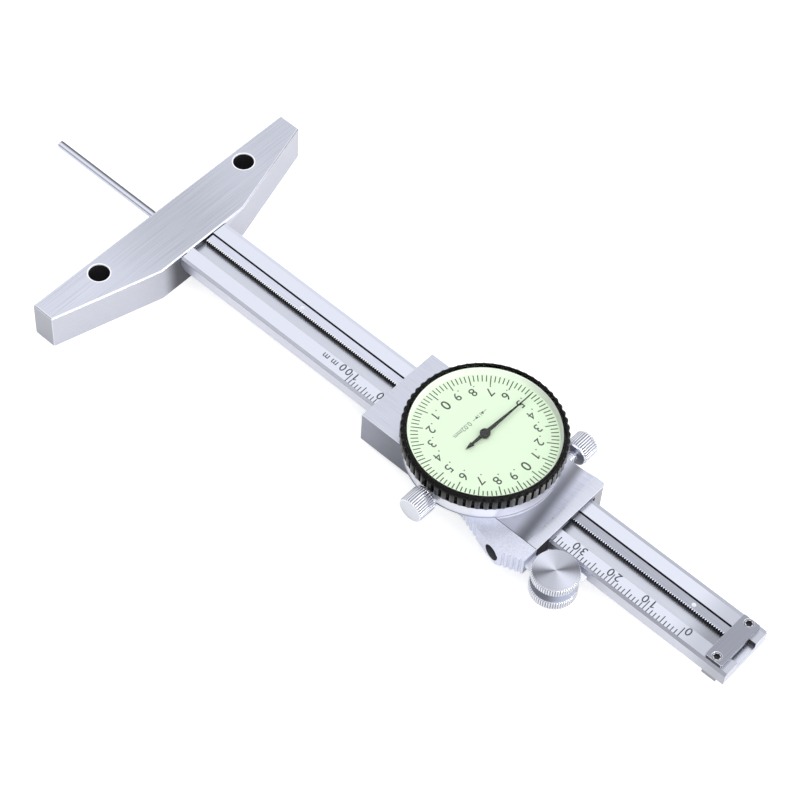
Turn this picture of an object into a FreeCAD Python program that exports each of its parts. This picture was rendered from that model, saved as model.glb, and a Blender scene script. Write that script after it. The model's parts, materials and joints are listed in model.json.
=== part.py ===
# Dial depth gauge, range 100 mm, one needle turn for 2 mm of travel.
# Millimetres. The origin is the centre of the measuring face, where the depth rod comes out.
# +X runs along the beam to its free end, +Z is up through the dial, -Y is the side with the scale.
import FreeCAD, Part
import math
import os

os.makedirs("parts", exist_ok=True)

# Base, the cross bar whose far side is the measuring face
base_length = 85.2
base_depth = 14.5
base_end_depth = 6.3
base_flat_width = 28.1
base_height = 10.8
base_edge = 0.3
extension_hole_r = 2.65
extension_hole_spacing = 49.8
extension_hole_inset = 4.05

# Beam with its channel and the tongue that enters the base
beam_width = 15.4
beam_thickness = 4.0
beam_top = 5.1
beam_length = 167.8
beam_bevel = 0.6
beam_root_r = 2.0
channel_width = 6.7
channel_depth = 1.6
tongue_length = 9.0
tongue_width = 11.0
tongue_thickness = 2.0

# Rack in the channel, teeth towards -Y
rack_pitch = 0.625
rack_height = 1.25
rack_width = 2.5
rack_wall_gap = 0.3
rack_end_gap = 0.4
rack_stop_overlap = 0.5
rack_pin_r = 0.55
rack_pin_first = 46.0
rack_pin_step = 60.0
rack_pin_count = 3
rack_pin_depth = 1.4

# Stop plates at the free end
stop_from_end = 6.35
stop_length = 4.65
stop_width = 14.2
stop_thickness = 1.2
stop_edge = 0.25
stop_screw_spacing = 11.6
stop_screw_floor = 0.6
back_stop_length = 3.8
back_stop_width = 15.0
back_stop_thickness = 1.5
back_stop_screw_spacing = 7.6
back_stop_screw_grip = 1.8

# Slider at its reading
scale_zero_x = 168.35
reading = 36.49
slider_length = 53.35
slider_width = 24.6
slider_top = 6.5
slider_bottom = -2.95
slider_corner_r = 1.2
beam_clearance = 0.05
gib_thickness = 0.95
gib_play = 0.05
gib_side_gap = 0.2
gib_end_gap = 1.0
gib_screw_r = 1.0
gib_screw_recess = 0.3
gib_screw_first = 8.0
gib_screw_spacing = 16.0
lower_cavity_width = 10.0
ledge_drop = 0.05
cover_thickness = 1.1
cover_width = 20.6
cover_margin = 1.5
cover_screw_inset = 3.2
cover_screw_edge = 2.2
scoop_from_index = 2.9
scoop_length = 12.0
scoop_dip = 0.9

# Depth rod
rod_r = 1.0
rod_bore_clearance = 0.05
rod_tip_chamfer = 0.35
rod_grip_length = 16.5
clamp_length = 10.0
clamp_inset = 6.0
clamp_side_gap = 0.1
clamp_top_gap = 0.2
clamp_screw_spacing = 6.4

# Thumb rest on the -Y side
rest_height = 5.25
rest_start = 23.6
rest_shoulder_depth = 3.0
rest_shoulder_shift = 1.3
rest_point_from_index = 6.1
rest_point_depth = 6.7
rest_end_depth = 4.3
rib_radius = 0.35
rib_pitch = 1.35
left_rib_start = 2.0
left_rib_count = 6
right_rib_start = 0.9
right_rib_count = 4
rest_screw_bore_r = 2.05
rest_screw_shank_r = 0.9
rest_screw_head_height = 1.0
rest_screw_head_gap = 0.2
rest_screw_from_index = 7.85
rest_screw_drop = 2.6
rest_screw_floor = 1.2
rest_head_depth = 2.6

# Thumb roller
roller_r = 5.7
roller_from_index = 6.65
upper_roller_height = 2.35
lower_roller_height = 2.9
roller_spacer_height = 1.55
roller_spacer_r = 2.4
upper_roller_top = 6.55
roller_axle_r = 1.2
roller_axle_recess = 0.4
roller_edge = 0.3
bracket_thickness = 1.0
bracket_gap = 0.1
bracket_entry = 5.0
bracket_reach = 12.0
bracket_beam_gap = 0.9
bracket_finger_width = 1.4
bracket_corner_r = 0.9
bracket_screw_r = 0.6
bracket_screw_head_r = 1.0
bracket_screw_head_height = 0.5
bracket_screw_inset = 2.2
bracket_screw_offset = 1.9
bracket_screw_bite = 1.2

# Dial housing, bezel, crystal and dial plate
dial_from_index = 26.7
housing_r = 18.75
housing_wall = 0.7
housing_floor = 0.8
housing_height = 3.85
bezel_r = 19.6
bezel_gap = 0.1
bezel_height = 4.05
bezel_top_edge = 0.7
bezel_lobes = 60
bezel_lobe_depth = 0.45
bezel_bore_r = 17.95
bezel_skirt_wall = 0.6
bezel_skirt_drop = 2.8
crystal_r = 18.4
crystal_thickness = 0.5
crystal_seat = 0.6
dial_plate_thickness = 0.4
dial_plate_drop = 2.95
dial_hole_r = 1.0
radial_play = 0.05

# Needle, wheels and pinions
needle_tip_r = 15.8
needle_tail_r = 6.6
needle_hub_r = 1.25
needle_thickness = 0.3
needle_lift = 0.8
needle_root_width = 1.0
needle_tip_width = 0.22
needle_tip_length = 0.4
tail_head_length = 2.3
tail_head_width = 1.5
tail_neck_width = 0.7
needle_mm_per_turn = 2.0
rack_pinion_teeth = 16
wheel_teeth = 60
centre_pinion_teeth = 12
wheel_module = 0.24
tooth_addendum = 0.8
tooth_dedendum = 1.1
tooth_backlash = 0.05
pressure_angle = math.radians(20)
wheel_thickness = 0.6
wheel_lift = 0.9
wheel_holes = 4
wheel_hole_place = 0.55
wheel_hole_share = 0.24
pinion_floor_gap = 0.15
arbor_r = 0.5
pivot_depth = 0.6
pivot_end_gap = 0.1
bush_r = 2.0
bridge_thickness = 0.8
bridge_lift = 3.3
bridge_arm_width = 4.4
pillar_r = 1.4
pillar_spacing = 20.0
bridge_screw_bite = 1.6
spring_turns = 4
spring_strip = 0.12
spring_height = 0.4
spring_drop = 0.5
spring_inner_r = 1.1
spring_step = 0.55
spring_stud_r = 0.35

# Lock screws
knob_r = 3.3
knob_flutes = 32
knob_flute_depth = 0.2
collar_step = 0.2
bezel_lock_length = 5.7
bezel_lock_gap = 0.2
bezel_lock_stem_r = 1.05
bezel_lock_drop = 1.85
slide_lock_length = 5.2
slide_lock_stem_r = 1.25
slide_lock_reach = 3.2
slide_lock_from_index = 11.85
collar_thickness = 0.6

# Small fasteners
screw_r = 0.7
screw_head_r = 1.2
screw_head_height = 0.7
screw_bite = 2.2
base_screw_r = 1.25
base_screw_head_r = 2.3
base_screw_head_height = 2.0
base_screw_spacing = 8.0
base_screw_place = 0.6
socket_share = 0.5
socket_depth_share = 0.65

# Places worked out from the sizes above
V = FreeCAD.Vector
UP = V(0, 0, 1)
DOWN = V(0, 0, -1)
LEFT = V(0, 1, 0)
beam_bottom = beam_top - beam_thickness
beam_half = beam_width / 2
beam_end_x = base_depth + beam_length
beam_mid_z = beam_top - beam_thickness / 2
channel_floor = beam_top - channel_depth
rack_back_y = channel_width / 2 - rack_wall_gap
rack_tip_y = rack_back_y - rack_width
rack_top = channel_floor + rack_height
rack_module = rack_pitch / math.pi
rack_start_x = base_depth + rack_end_gap
stop_x = beam_end_x - stop_from_end
stop_mid_x = stop_x + stop_length / 2
index_x = scale_zero_x - reading
slider_left_x = index_x - slider_length
slider_half = slider_width / 2
dial_x = index_x - dial_from_index
slot_top = beam_top + beam_clearance
slot_bottom = beam_bottom - ledge_drop
slot_side = beam_half + beam_clearance
gib_wall_y = slot_side + gib_thickness + gib_play
cover_top = slider_bottom + cover_thickness
housing_floor_top = slider_top + housing_floor
housing_top = slider_top + housing_height
bezel_bottom = housing_top + bezel_gap
bezel_top = bezel_bottom + bezel_height
crystal_bottom = bezel_top - crystal_seat
dial_plate_bottom = bezel_top - dial_plate_drop
dial_plate_top = dial_plate_bottom + dial_plate_thickness
wheel_bottom = housing_floor_top + wheel_lift
wheel_top = wheel_bottom + wheel_thickness
bridge_bottom = housing_floor_top + bridge_lift
bridge_top = bridge_bottom + bridge_thickness
needle_bottom = dial_plate_top + needle_lift
needle_top = needle_bottom + needle_thickness
wheel_distance = (wheel_teeth + centre_pinion_teeth) * wheel_module / 2
rack_pinion_r = rack_pinion_teeth * rack_module / 2
rack_pinion_y = rack_tip_y + tooth_addendum * rack_module - rack_pinion_r
rack_pinion_x = dial_x - math.sqrt(wheel_distance ** 2 - rack_pinion_y ** 2)
sprung_x = dial_x + wheel_distance
roller_x = index_x + roller_from_index
roller_y = -(slot_side + roller_r)
rest_bottom = slider_top - rest_height
upper_roller_bottom = upper_roller_top - upper_roller_height
bracket_top = upper_roller_bottom - bracket_gap
bracket_bottom = bracket_top - bracket_thickness
lower_roller_top = bracket_bottom - bracket_gap - roller_spacer_height
lower_roller_bottom = lower_roller_top - lower_roller_height
pivot_r = arbor_r + radial_play
pivot_foot = housing_floor_top - pivot_depth


def block(x0, x1, y0, y1, z0, z1):
    return Part.makeBox(x1 - x0, y1 - y0, z1 - z0, V(x0, y0, z0))


def rod(radius, start, direction, length):
    return Part.makeCylinder(radius, length, start, direction)


def prism(points, z0, z1):
    outline = Part.makePolygon([V(x, y, z0) for x, y in points + points[:1]])
    return Part.Face(outline).extrude(V(0, 0, z1 - z0))


def along_x(points, x0, x1):
    outline = Part.makePolygon([V(x0, y, z) for y, z in points + points[:1]])
    return Part.Face(outline).extrude(V(x1 - x0, 0, 0))


def turned(points, x, y):
    outline = Part.makePolygon([V(x + r, y, z) for r, z in points + points[:1]])
    return Part.Face(outline).revolve(V(x, y, 0), UP, 360)


def join(shapes):
    return shapes[0].multiFuse(shapes[1:]).removeSplitter()


def lies_on(edge, axis, value):
    box = edge.BoundBox
    spans = {"x": (box.XMin, box.XMax), "y": (box.YMin, box.YMax), "z": (box.ZMin, box.ZMax)}
    low, high = spans[axis]
    return abs(low - value) < 1e-4 and abs(high - value) < 1e-4


def edges_at(shape, **places):
    return [edge for edge in shape.Edges if all(lies_on(edge, axis, at) for axis, at in places.items())]


def polar(x, y, radius, angle):
    return x + radius * math.cos(angle), y + radius * math.sin(angle)


def save(name, *solids):
    shape = solids[0] if len(solids) == 1 else Part.makeCompound(list(solids))
    shape.exportStep("parts/" + name + ".step")


# A round part with straight flutes along its rim
def fluted_prism(x, y, radius, count, depth, z0, z1):
    step = 2 * math.pi / count
    points = []
    for i in range(count):
        for share, r in ((0.0, radius), (0.4, radius), (0.6, radius - depth), (0.8, radius - depth)):
            points.append(polar(x, y, r, (i + share) * step))
    return prism(points, z0, z1)


# A prism with rounded lobes round its edge and narrow grooves between them
def lobed_prism(x, y, radius, count, depth, z0, z1):
    step = 2 * math.pi / count
    points = []
    for i in range(count):
        for share in (0.0, 0.12, 0.28, 0.5, 0.72, 0.88):
            fall = depth * abs(2 * share - 1) ** 3
            points.append(polar(x, y, radius - fall, (i + share) * step))
    return prism(points, z0, z1)


# Half the angle of a gear tooth at a radius, on an involute flank
def tooth_half_angle(radius, pitch_r, teeth):
    base_r = pitch_r * math.cos(pressure_angle)
    at_radius = math.acos(base_r / max(radius, base_r))
    involute_fall = math.tan(pressure_angle) - pressure_angle - math.tan(at_radius) + at_radius
    return math.pi / (2 * teeth) - tooth_backlash / (2 * pitch_r) + involute_fall


# A gear's outline with one tooth centred on the angle phase
def gear_outline(x, y, teeth, module, phase, flank_steps):
    pitch_r = teeth * module / 2
    root_r = pitch_r - tooth_dedendum * module
    tip_r = pitch_r + tooth_addendum * module
    radii = [root_r + (tip_r - root_r) * k / flank_steps for k in range(flank_steps + 1)]
    points = []
    for i in range(teeth):
        middle = phase + i * 2 * math.pi / teeth
        for radius in radii:
            points.append(polar(x, y, radius, middle - tooth_half_angle(radius, pitch_r, teeth)))
        for radius in reversed(radii):
            points.append(polar(x, y, radius, middle + tooth_half_angle(radius, pitch_r, teeth)))
    return points


def hex_socket(point, direction, radius, depth):
    turn = FreeCAD.Rotation(UP, direction)
    corners = [point + turn.multVec(V(*polar(0, 0, radius, math.radians(60 * i)), 0)) for i in range(7)]
    return Part.Face(Part.makePolygon(corners)).extrude(direction * depth)


# The full shape of a flat-headed screw; point is the middle of the head's top, and it also cuts the seat
def flat_screw_shape(point, direction, length, radius=screw_r, head_r=screw_head_r, height=screw_head_height):
    head = Part.makeCone(radius, head_r, height, point + direction * height, direction * -1)
    return join([head, rod(radius, point + direction * (height / 2), direction, length - height / 2)])


def flat_screw(point, direction, length, radius=screw_r, head_r=screw_head_r, height=screw_head_height):
    socket = hex_socket(point, direction, head_r * socket_share, height * socket_depth_share)
    return flat_screw_shape(point, direction, length, radius, head_r, height).cut(socket)


# A screw with a raised cylinder head
def cap_screw(point, direction, length, radius, head_r, height):
    head = rod(head_r, point, direction, height)
    shank = rod(radius, point + direction * height, direction, length - height)
    socket = hex_socket(point, direction, head_r * socket_share, height * socket_depth_share)
    return join([head, shank]).cut(socket)


# Base
half_length = base_length / 2
half_flat = base_flat_width / 2
half_height = base_height / 2
base = prism(
    [
        (0, -half_length), (base_end_depth, -half_length), (base_depth, -half_flat),
        (base_depth, half_flat), (base_end_depth, half_length), (0, half_length),
    ],
    -half_height, half_height,
)
base = base.makeChamfer(base_edge, edges_at(base, z=half_height) + edges_at(base, z=-half_height))
for y in (-extension_hole_spacing / 2, extension_hole_spacing / 2):
    base = base.cut(rod(extension_hole_r, V(extension_hole_inset, y, -half_height), UP, base_height))
tongue = block(
    base_depth - tongue_length, base_depth, -tongue_width / 2, tongue_width / 2,
    beam_mid_z - tongue_thickness / 2, beam_mid_z + tongue_thickness / 2,
)
base = base.cut(tongue)
base = base.cut(rod(rod_r + rod_bore_clearance, V(0, 0, 0), V(1, 0, 0), base_depth))
base_screw_x = base_depth - tongue_length * base_screw_place
base_screw_length = half_height + beam_mid_z + tongue_thickness / 2
base_screws = []
for y in (-base_screw_spacing / 2, base_screw_spacing / 2):
    point = V(base_screw_x, y, -half_height)
    head = (base_screw_r, base_screw_head_r, base_screw_head_height)
    base = base.cut(rod(base_screw_r, point, UP, base_screw_length))
    base = base.cut(rod(base_screw_head_r, point, UP, base_screw_head_height))
    base_screws.append(cap_screw(point, UP, base_screw_length, *head))

# Beam, its lower corner rounded off where it meets the base
flat_y = beam_half - beam_bevel
wall_y = channel_width / 2
beam_bar = along_x(
    [
        (-beam_half, beam_bottom), (beam_half, beam_bottom), (beam_half, beam_top - beam_bevel),
        (flat_y, beam_top), (wall_y, beam_top), (wall_y, channel_floor), (-wall_y, channel_floor),
        (-wall_y, beam_top), (-flat_y, beam_top), (-beam_half, beam_top - beam_bevel),
    ],
    base_depth, beam_end_x,
)
beam_bar = beam_bar.makeFillet(beam_root_r, edges_at(beam_bar, x=base_depth, z=beam_bottom))
beam = join([beam_bar, tongue])
for y in (-base_screw_spacing / 2, base_screw_spacing / 2):
    beam = beam.cut(rod(base_screw_r, V(base_screw_x, y, -half_height), UP, base_screw_length))

# Rack strip with trapezoid teeth, and its pins
rack_teeth = int((stop_x + rack_stop_overlap - rack_start_x) / rack_pitch)
rack_end_x = rack_start_x + rack_teeth * rack_pitch
pitch_half = rack_pitch / 4 - tooth_backlash / 2
tip_half = pitch_half - tooth_addendum * rack_module * math.tan(pressure_angle)
root_half = pitch_half + tooth_dedendum * rack_module * math.tan(pressure_angle)
rack_root_y = rack_tip_y + (tooth_addendum + tooth_dedendum) * rack_module
rack_tooth = [
    (-root_half, rack_root_y), (-tip_half, rack_tip_y), (tip_half, rack_tip_y), (root_half, rack_root_y),
]
rack_outline = [(rack_end_x, rack_back_y), (rack_start_x, rack_back_y)]
for i in range(rack_teeth):
    middle = rack_start_x + (i + 0.5) * rack_pitch
    rack_outline.extend((middle + reach, y) for reach, y in rack_tooth)
rack = prism(rack_outline, channel_floor, rack_top)
rack_pin_y = (rack_root_y + rack_back_y) / 2
rack_pins = []
for i in range(rack_pin_count):
    foot = V(rack_pin_first + i * rack_pin_step, rack_pin_y, channel_floor - rack_pin_depth)
    pin = rod(rack_pin_r, foot, UP, rack_height + rack_pin_depth)
    rack = rack.cut(pin)
    beam = beam.cut(pin)
    rack_pins.append(pin)

# Stop plates and their screws at the free end
end_stop = block(
    stop_x, stop_x + stop_length, -stop_width / 2, stop_width / 2, beam_top, beam_top + stop_thickness,
)
for x in (stop_x, stop_x + stop_length):
    for y in (-stop_width / 2, stop_width / 2):
        end_stop = end_stop.makeChamfer(stop_edge, edges_at(end_stop, x=x, y=y))
stop_screw_length = beam_thickness + stop_thickness - stop_screw_floor
end_stop_screws = []
for y in (-stop_screw_spacing / 2, stop_screw_spacing / 2):
    size = (V(stop_mid_x, y, beam_top + stop_thickness), DOWN, stop_screw_length)
    end_stop = end_stop.cut(flat_screw_shape(*size))
    beam = beam.cut(flat_screw_shape(*size))
    end_stop_screws.append(flat_screw(*size))
back_stop = block(
    stop_mid_x - back_stop_length / 2, stop_mid_x + back_stop_length / 2,
    -back_stop_width / 2, back_stop_width / 2, beam_bottom - back_stop_thickness, beam_bottom,
)
back_screw_length = back_stop_thickness + back_stop_screw_grip
back_stop_screws = []
for y in (-back_stop_screw_spacing / 2, back_stop_screw_spacing / 2):
    size = (V(stop_mid_x, y, beam_bottom - back_stop_thickness), UP, back_screw_length)
    back_stop = back_stop.cut(flat_screw_shape(*size))
    beam = beam.cut(flat_screw_shape(*size))
    back_stop_screws.append(flat_screw(*size))

# Slider body: a block milled out for the beam, the rod and the back cover
slider = block(slider_left_x, index_x, -slider_half, slider_half, slider_bottom, slider_top)
slider = slider.makeFillet(slider_corner_r, edges_at(slider, x=index_x, y=slider_half))
cavity_half = lower_cavity_width / 2
cover_half = cover_width / 2
cover_x0 = slider_left_x + cover_margin
cover_x1 = index_x - cover_margin
back_cover = block(cover_x0, cover_x1, -cover_half, cover_half, slider_bottom, cover_top)
slider = slider.cut(block(slider_left_x, index_x, -slot_side, gib_wall_y, slot_bottom, slot_top))
slider = slider.cut(block(slider_left_x, index_x, -cavity_half, cavity_half, slider_bottom, slot_bottom))
slider = slider.cut(back_cover)

# The milled scoop between the dial and the reading edge, left full height under the housing
scoop_mid_x = index_x - scoop_from_index - scoop_length / 2
scoop_r = ((scoop_length / 2) ** 2 + scoop_dip ** 2) / (2 * scoop_dip)
scoop_axis = V(scoop_mid_x, -slider_half, slider_top - scoop_dip + scoop_r)
scoop = rod(scoop_r, scoop_axis, LEFT, slider_width)
under_housing = rod(housing_r, V(dial_x, 0, slider_bottom), UP, slider_top - slider_bottom)
slider = slider.cut(scoop.cut(under_housing))

# Dial housing: a cup that carries the movement and the bezel
housing_inner_r = housing_r - housing_wall
housing = turned(
    [
        (0, slider_top), (housing_r, slider_top), (housing_r, housing_top),
        (housing_inner_r, housing_top), (housing_inner_r, housing_floor_top), (0, housing_floor_top),
    ],
    dial_x, 0,
)
bush_foot = V(rack_pinion_x, rack_pinion_y, slot_top)
bush = rod(bush_r, bush_foot, UP, housing_floor_top - slot_top)
slider = slider.cut(bush)
housing = housing.cut(bush)
bush = bush.cut(rod(pivot_r, bush_foot, UP, housing_floor_top - slot_top))
for x in (dial_x, sprung_x):
    housing = housing.cut(rod(pivot_r, V(x, 0, pivot_foot), UP, pivot_depth))

# Screws that hold the housing down on the slider, at shares of the slider's half width
housing_screws = []
for x_share, y_share in ((-0.55, 0.55), (0.55, 0.55), (0.0, -0.6)):
    point = V(dial_x + x_share * slider_half, y_share * slider_half, housing_floor_top)
    size = (point, DOWN, housing_floor_top - slot_top - beam_clearance)
    housing = housing.cut(flat_screw_shape(*size))
    slider = slider.cut(flat_screw_shape(*size))
    housing_screws.append(flat_screw(*size))

# Gib strip between the beam and the slider's +Y wall, with its set screws
gib = block(
    slider_left_x + gib_end_gap, index_x - gib_end_gap, slot_side, slot_side + gib_thickness,
    beam_bottom + gib_side_gap, beam_top - gib_side_gap,
)
gib_screw_length = slider_half - slot_side - gib_thickness - gib_screw_recess
gib_screws = []
for place in (gib_screw_first, gib_screw_first + gib_screw_spacing):
    start = V(slider_left_x + place, slot_side + gib_thickness, beam_mid_z)
    slider = slider.cut(rod(gib_screw_r, start, LEFT, gib_screw_length + gib_screw_recess))
    socket = hex_socket(start + LEFT * gib_screw_length, LEFT * -1, gib_screw_r * socket_share, gib_screw_r)
    gib_screws.append(rod(gib_screw_r, start, LEFT, gib_screw_length).cut(socket))

# Depth rod and the clamp that ties it to the slider
rod_tip_x = -reading
depth_rod = rod(rod_r, V(rod_tip_x, 0, 0), V(1, 0, 0), slider_left_x + rod_grip_length - rod_tip_x)
clamp_x0 = slider_left_x + clamp_inset
clamp_half = cavity_half - clamp_side_gap
rod_clamp = block(
    clamp_x0, clamp_x0 + clamp_length, -clamp_half, clamp_half, cover_top, beam_bottom - clamp_top_gap,
).cut(depth_rod)
depth_rod = depth_rod.makeChamfer(rod_tip_chamfer, edges_at(depth_rod, x=rod_tip_x))

# Screws of the back cover and the clamp
cover_screws = []
for x in (cover_x0 + cover_screw_inset, cover_x1 - cover_screw_inset):
    for y in (cover_screw_edge - cover_half, cover_half - cover_screw_edge):
        size = (V(x, y, slider_bottom), UP, cover_thickness + screw_bite)
        back_cover = back_cover.cut(flat_screw_shape(*size))
        slider = slider.cut(flat_screw_shape(*size))
        cover_screws.append(flat_screw(*size))
clamp_screws = []
for y in (-clamp_screw_spacing / 2, clamp_screw_spacing / 2):
    size = (V(clamp_x0 + clamp_length / 2, y, slider_bottom), UP, cover_thickness + screw_bite)
    back_cover = back_cover.cut(flat_screw_shape(*size))
    rod_clamp = rod_clamp.cut(flat_screw_shape(*size))
    clamp_screws.append(flat_screw(*size))

# Thumb rest: a wedge with grip ribs, a screw in a deep bore and a slot for the roller's bracket
rest_y = -slider_half
shoulder = (index_x - rest_start + rest_shoulder_shift, rest_y - rest_shoulder_depth)
point_corner = (index_x - rest_point_from_index, rest_y - rest_point_depth)
end_corner = (index_x, rest_y - rest_end_depth)
thumb_rest = prism(
    [(index_x, rest_y), (index_x - rest_start, rest_y), shoulder, point_corner, end_corner],
    rest_bottom, slider_top,
)


def rib_grooves(start, end, first, count):
    length = math.hypot(end[0] - start[0], end[1] - start[1])
    grooves = []
    for i in range(count):
        share = (first + i * rib_pitch) / length
        foot = V(start[0] + (end[0] - start[0]) * share, start[1] + (end[1] - start[1]) * share, rest_bottom)
        grooves.append(rod(rib_radius, foot, UP, rest_height))
    return grooves


for groove in rib_grooves(shoulder, point_corner, left_rib_start, left_rib_count):
    thumb_rest = thumb_rest.cut(groove)
for groove in rib_grooves(end_corner, point_corner, right_rib_start, right_rib_count):
    thumb_rest = thumb_rest.cut(groove)
rest_head_y = rest_y - rest_head_depth
rest_head = V(index_x - rest_screw_from_index, rest_head_y, slider_top - rest_screw_drop)
rest_head_foot = rest_head + LEFT * rest_screw_head_height
bore = rod(rest_screw_bore_r, rest_head_foot, LEFT * -1, rest_point_depth)
rest_screw_length = -slot_side - rest_screw_floor - rest_head_y
shank_hole = rod(rest_screw_shank_r, rest_head, LEFT, rest_screw_length)
thumb_rest = thumb_rest.cut(bore).cut(shank_hole)
slider = slider.cut(shank_hole)
thumb_rest_screw = cap_screw(
    rest_head, LEFT, rest_screw_length,
    rest_screw_shank_r, rest_screw_bore_r - rest_screw_head_gap, rest_screw_head_height,
)

# Roller bracket: a sheet piece held in the thumb rest's slot, its finger lies beside the beam
bracket_y0 = end_corner[1] + roller_axle_r / 2
finger_y = -(beam_half + bracket_beam_gap)
finger_x = index_x + bracket_reach
bracket = prism(
    [
        (index_x - bracket_entry, bracket_y0), (index_x + roller_axle_r, bracket_y0),
        (roller_x + roller_axle_r, roller_y - 2 * roller_axle_r), (roller_x + 3 * roller_axle_r, roller_y),
        (finger_x, finger_y - bracket_finger_width), (finger_x, finger_y),
        (index_x + bracket_beam_gap, finger_y), (index_x + bracket_beam_gap, rest_y),
        (index_x - bracket_entry, rest_y),
    ],
    bracket_bottom, bracket_top,
)
bracket = bracket.makeFillet(bracket_corner_r, edges_at(bracket, x=index_x + bracket_beam_gap, y=finger_y))
axle_hole = rod(roller_axle_r + radial_play, V(roller_x, roller_y, bracket_bottom), UP, bracket_thickness)
bracket = bracket.cut(axle_hole)
bracket_slot = block(index_x - bracket_entry, index_x, bracket_y0, rest_y, bracket_bottom, bracket_top)
thumb_rest = thumb_rest.cut(bracket_slot)
bracket_screw_size = (
    V(index_x - bracket_screw_inset, rest_y - bracket_screw_offset, rest_bottom), UP,
    bracket_top - rest_bottom + bracket_screw_bite,
    bracket_screw_r, bracket_screw_head_r, bracket_screw_head_height,
)
thumb_rest = thumb_rest.cut(flat_screw_shape(*bracket_screw_size))
bracket = bracket.cut(flat_screw_shape(*bracket_screw_size))
bracket_screw = flat_screw(*bracket_screw_size)

# Thumb roller: two discs on one axle, both bearing on the beam's scale-side edge
axle_foot = V(roller_x, roller_y, lower_roller_bottom)
roller_axle = rod(roller_axle_r, axle_foot, UP, upper_roller_top - roller_axle_recess - lower_roller_bottom)
upper_roller = rod(roller_r, V(roller_x, roller_y, upper_roller_bottom), UP, upper_roller_height)
upper_roller = upper_roller.makeChamfer(roller_edge, edges_at(upper_roller, z=upper_roller_top))
upper_roller = upper_roller.cut(roller_axle)
lower_roller = rod(roller_r, axle_foot, UP, lower_roller_height)
lower_roller = lower_roller.makeChamfer(roller_edge, edges_at(lower_roller, z=lower_roller_bottom))
roller_spacer = rod(roller_spacer_r, V(roller_x, roller_y, lower_roller_top), UP, roller_spacer_height)
lower_roller = join([lower_roller, roller_spacer])
lower_roller = lower_roller.cut(roller_axle)

# Bezel, crystal and dial plate, which turn together to set zero
skirt_inner_r = bezel_bore_r - bezel_skirt_wall
skirt_bottom = bezel_bottom - bezel_skirt_drop
bezel = turned(
    [
        (bezel_bore_r, skirt_bottom), (bezel_bore_r, bezel_bottom), (bezel_r, bezel_bottom),
        (bezel_r, bezel_top - bezel_top_edge), (bezel_r - bezel_top_edge, bezel_top), (crystal_r, bezel_top),
        (crystal_r, crystal_bottom), (bezel_bore_r, crystal_bottom), (bezel_bore_r, dial_plate_bottom),
        (skirt_inner_r, dial_plate_bottom), (skirt_inner_r, skirt_bottom),
    ],
    dial_x, 0,
)
coin_edge = lobed_prism(dial_x, 0, bezel_r, bezel_lobes, bezel_lobe_depth, skirt_bottom, bezel_top)
bezel = bezel.common(coin_edge)
crystal = rod(crystal_r, V(dial_x, 0, crystal_bottom), UP, crystal_thickness)
dial_foot = V(dial_x, 0, dial_plate_bottom)
dial_plate = rod(bezel_bore_r, dial_foot, UP, dial_plate_thickness)
dial_plate = dial_plate.cut(rod(dial_hole_r, dial_foot, UP, dial_plate_thickness))

# Rack pinion, with a tooth space over the nearest rack tooth
teeth_from_start = (rack_pinion_x - rack_start_x) / rack_pitch - 0.5
to_nearest_tooth = (round(teeth_from_start) - teeth_from_start) * rack_pitch
pinion_phase = math.pi / 2 - to_nearest_tooth / rack_pinion_r + math.pi / rack_pinion_teeth
pinion_bottom = channel_floor + pinion_floor_gap
pinion_points = gear_outline(rack_pinion_x, rack_pinion_y, rack_pinion_teeth, rack_module, pinion_phase, 3)
pinion_foot = V(rack_pinion_x, rack_pinion_y, pinion_bottom)
rack_pinion = join([
    prism(pinion_points, pinion_bottom, rack_top),
    rod(arbor_r, pinion_foot, UP, bridge_top - pinion_bottom),
])


# A wheel of the movement, with round holes in its web
def train_wheel(x, y, phase):
    pitch_r = wheel_teeth * wheel_module / 2
    wheel = prism(gear_outline(x, y, wheel_teeth, wheel_module, phase, 1), wheel_bottom, wheel_top)
    for i in range(wheel_holes):
        angle = (i + 0.5) * 2 * math.pi / wheel_holes
        foot = V(*polar(x, y, pitch_r * wheel_hole_place, angle), wheel_bottom)
        wheel = wheel.cut(rod(pitch_r * wheel_hole_share, foot, UP, wheel_thickness))
    return wheel.cut(rod(arbor_r, V(x, y, wheel_bottom), UP, wheel_thickness))


# Drive wheel, centre pinion and the sprung wheel that takes up backlash, each meshed with the one before
arbor_foot = pivot_foot + pivot_end_gap
to_centre = math.atan2(-rack_pinion_y, dial_x - rack_pinion_x)
drive_wheel = train_wheel(rack_pinion_x, rack_pinion_y, to_centre)
centre_step = 2 * math.pi / centre_pinion_teeth
space_to_drive = to_centre + math.pi
centre_phase = space_to_drive + centre_step / 2
spaces_on = round(-space_to_drive / centre_step)
space_to_sprung = space_to_drive + spaces_on * centre_step
sprung_phase = math.pi - space_to_sprung * centre_pinion_teeth / wheel_teeth
centre_points = gear_outline(dial_x, 0, centre_pinion_teeth, wheel_module, centre_phase, 3)
centre_pinion = join([
    prism(centre_points, wheel_bottom, wheel_top),
    rod(arbor_r, V(dial_x, 0, arbor_foot), UP, needle_top - arbor_foot),
])
sprung_wheel = train_wheel(sprung_x, 0, sprung_phase)
sprung_arbor = rod(arbor_r, V(sprung_x, 0, arbor_foot), UP, bridge_top - arbor_foot)

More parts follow.
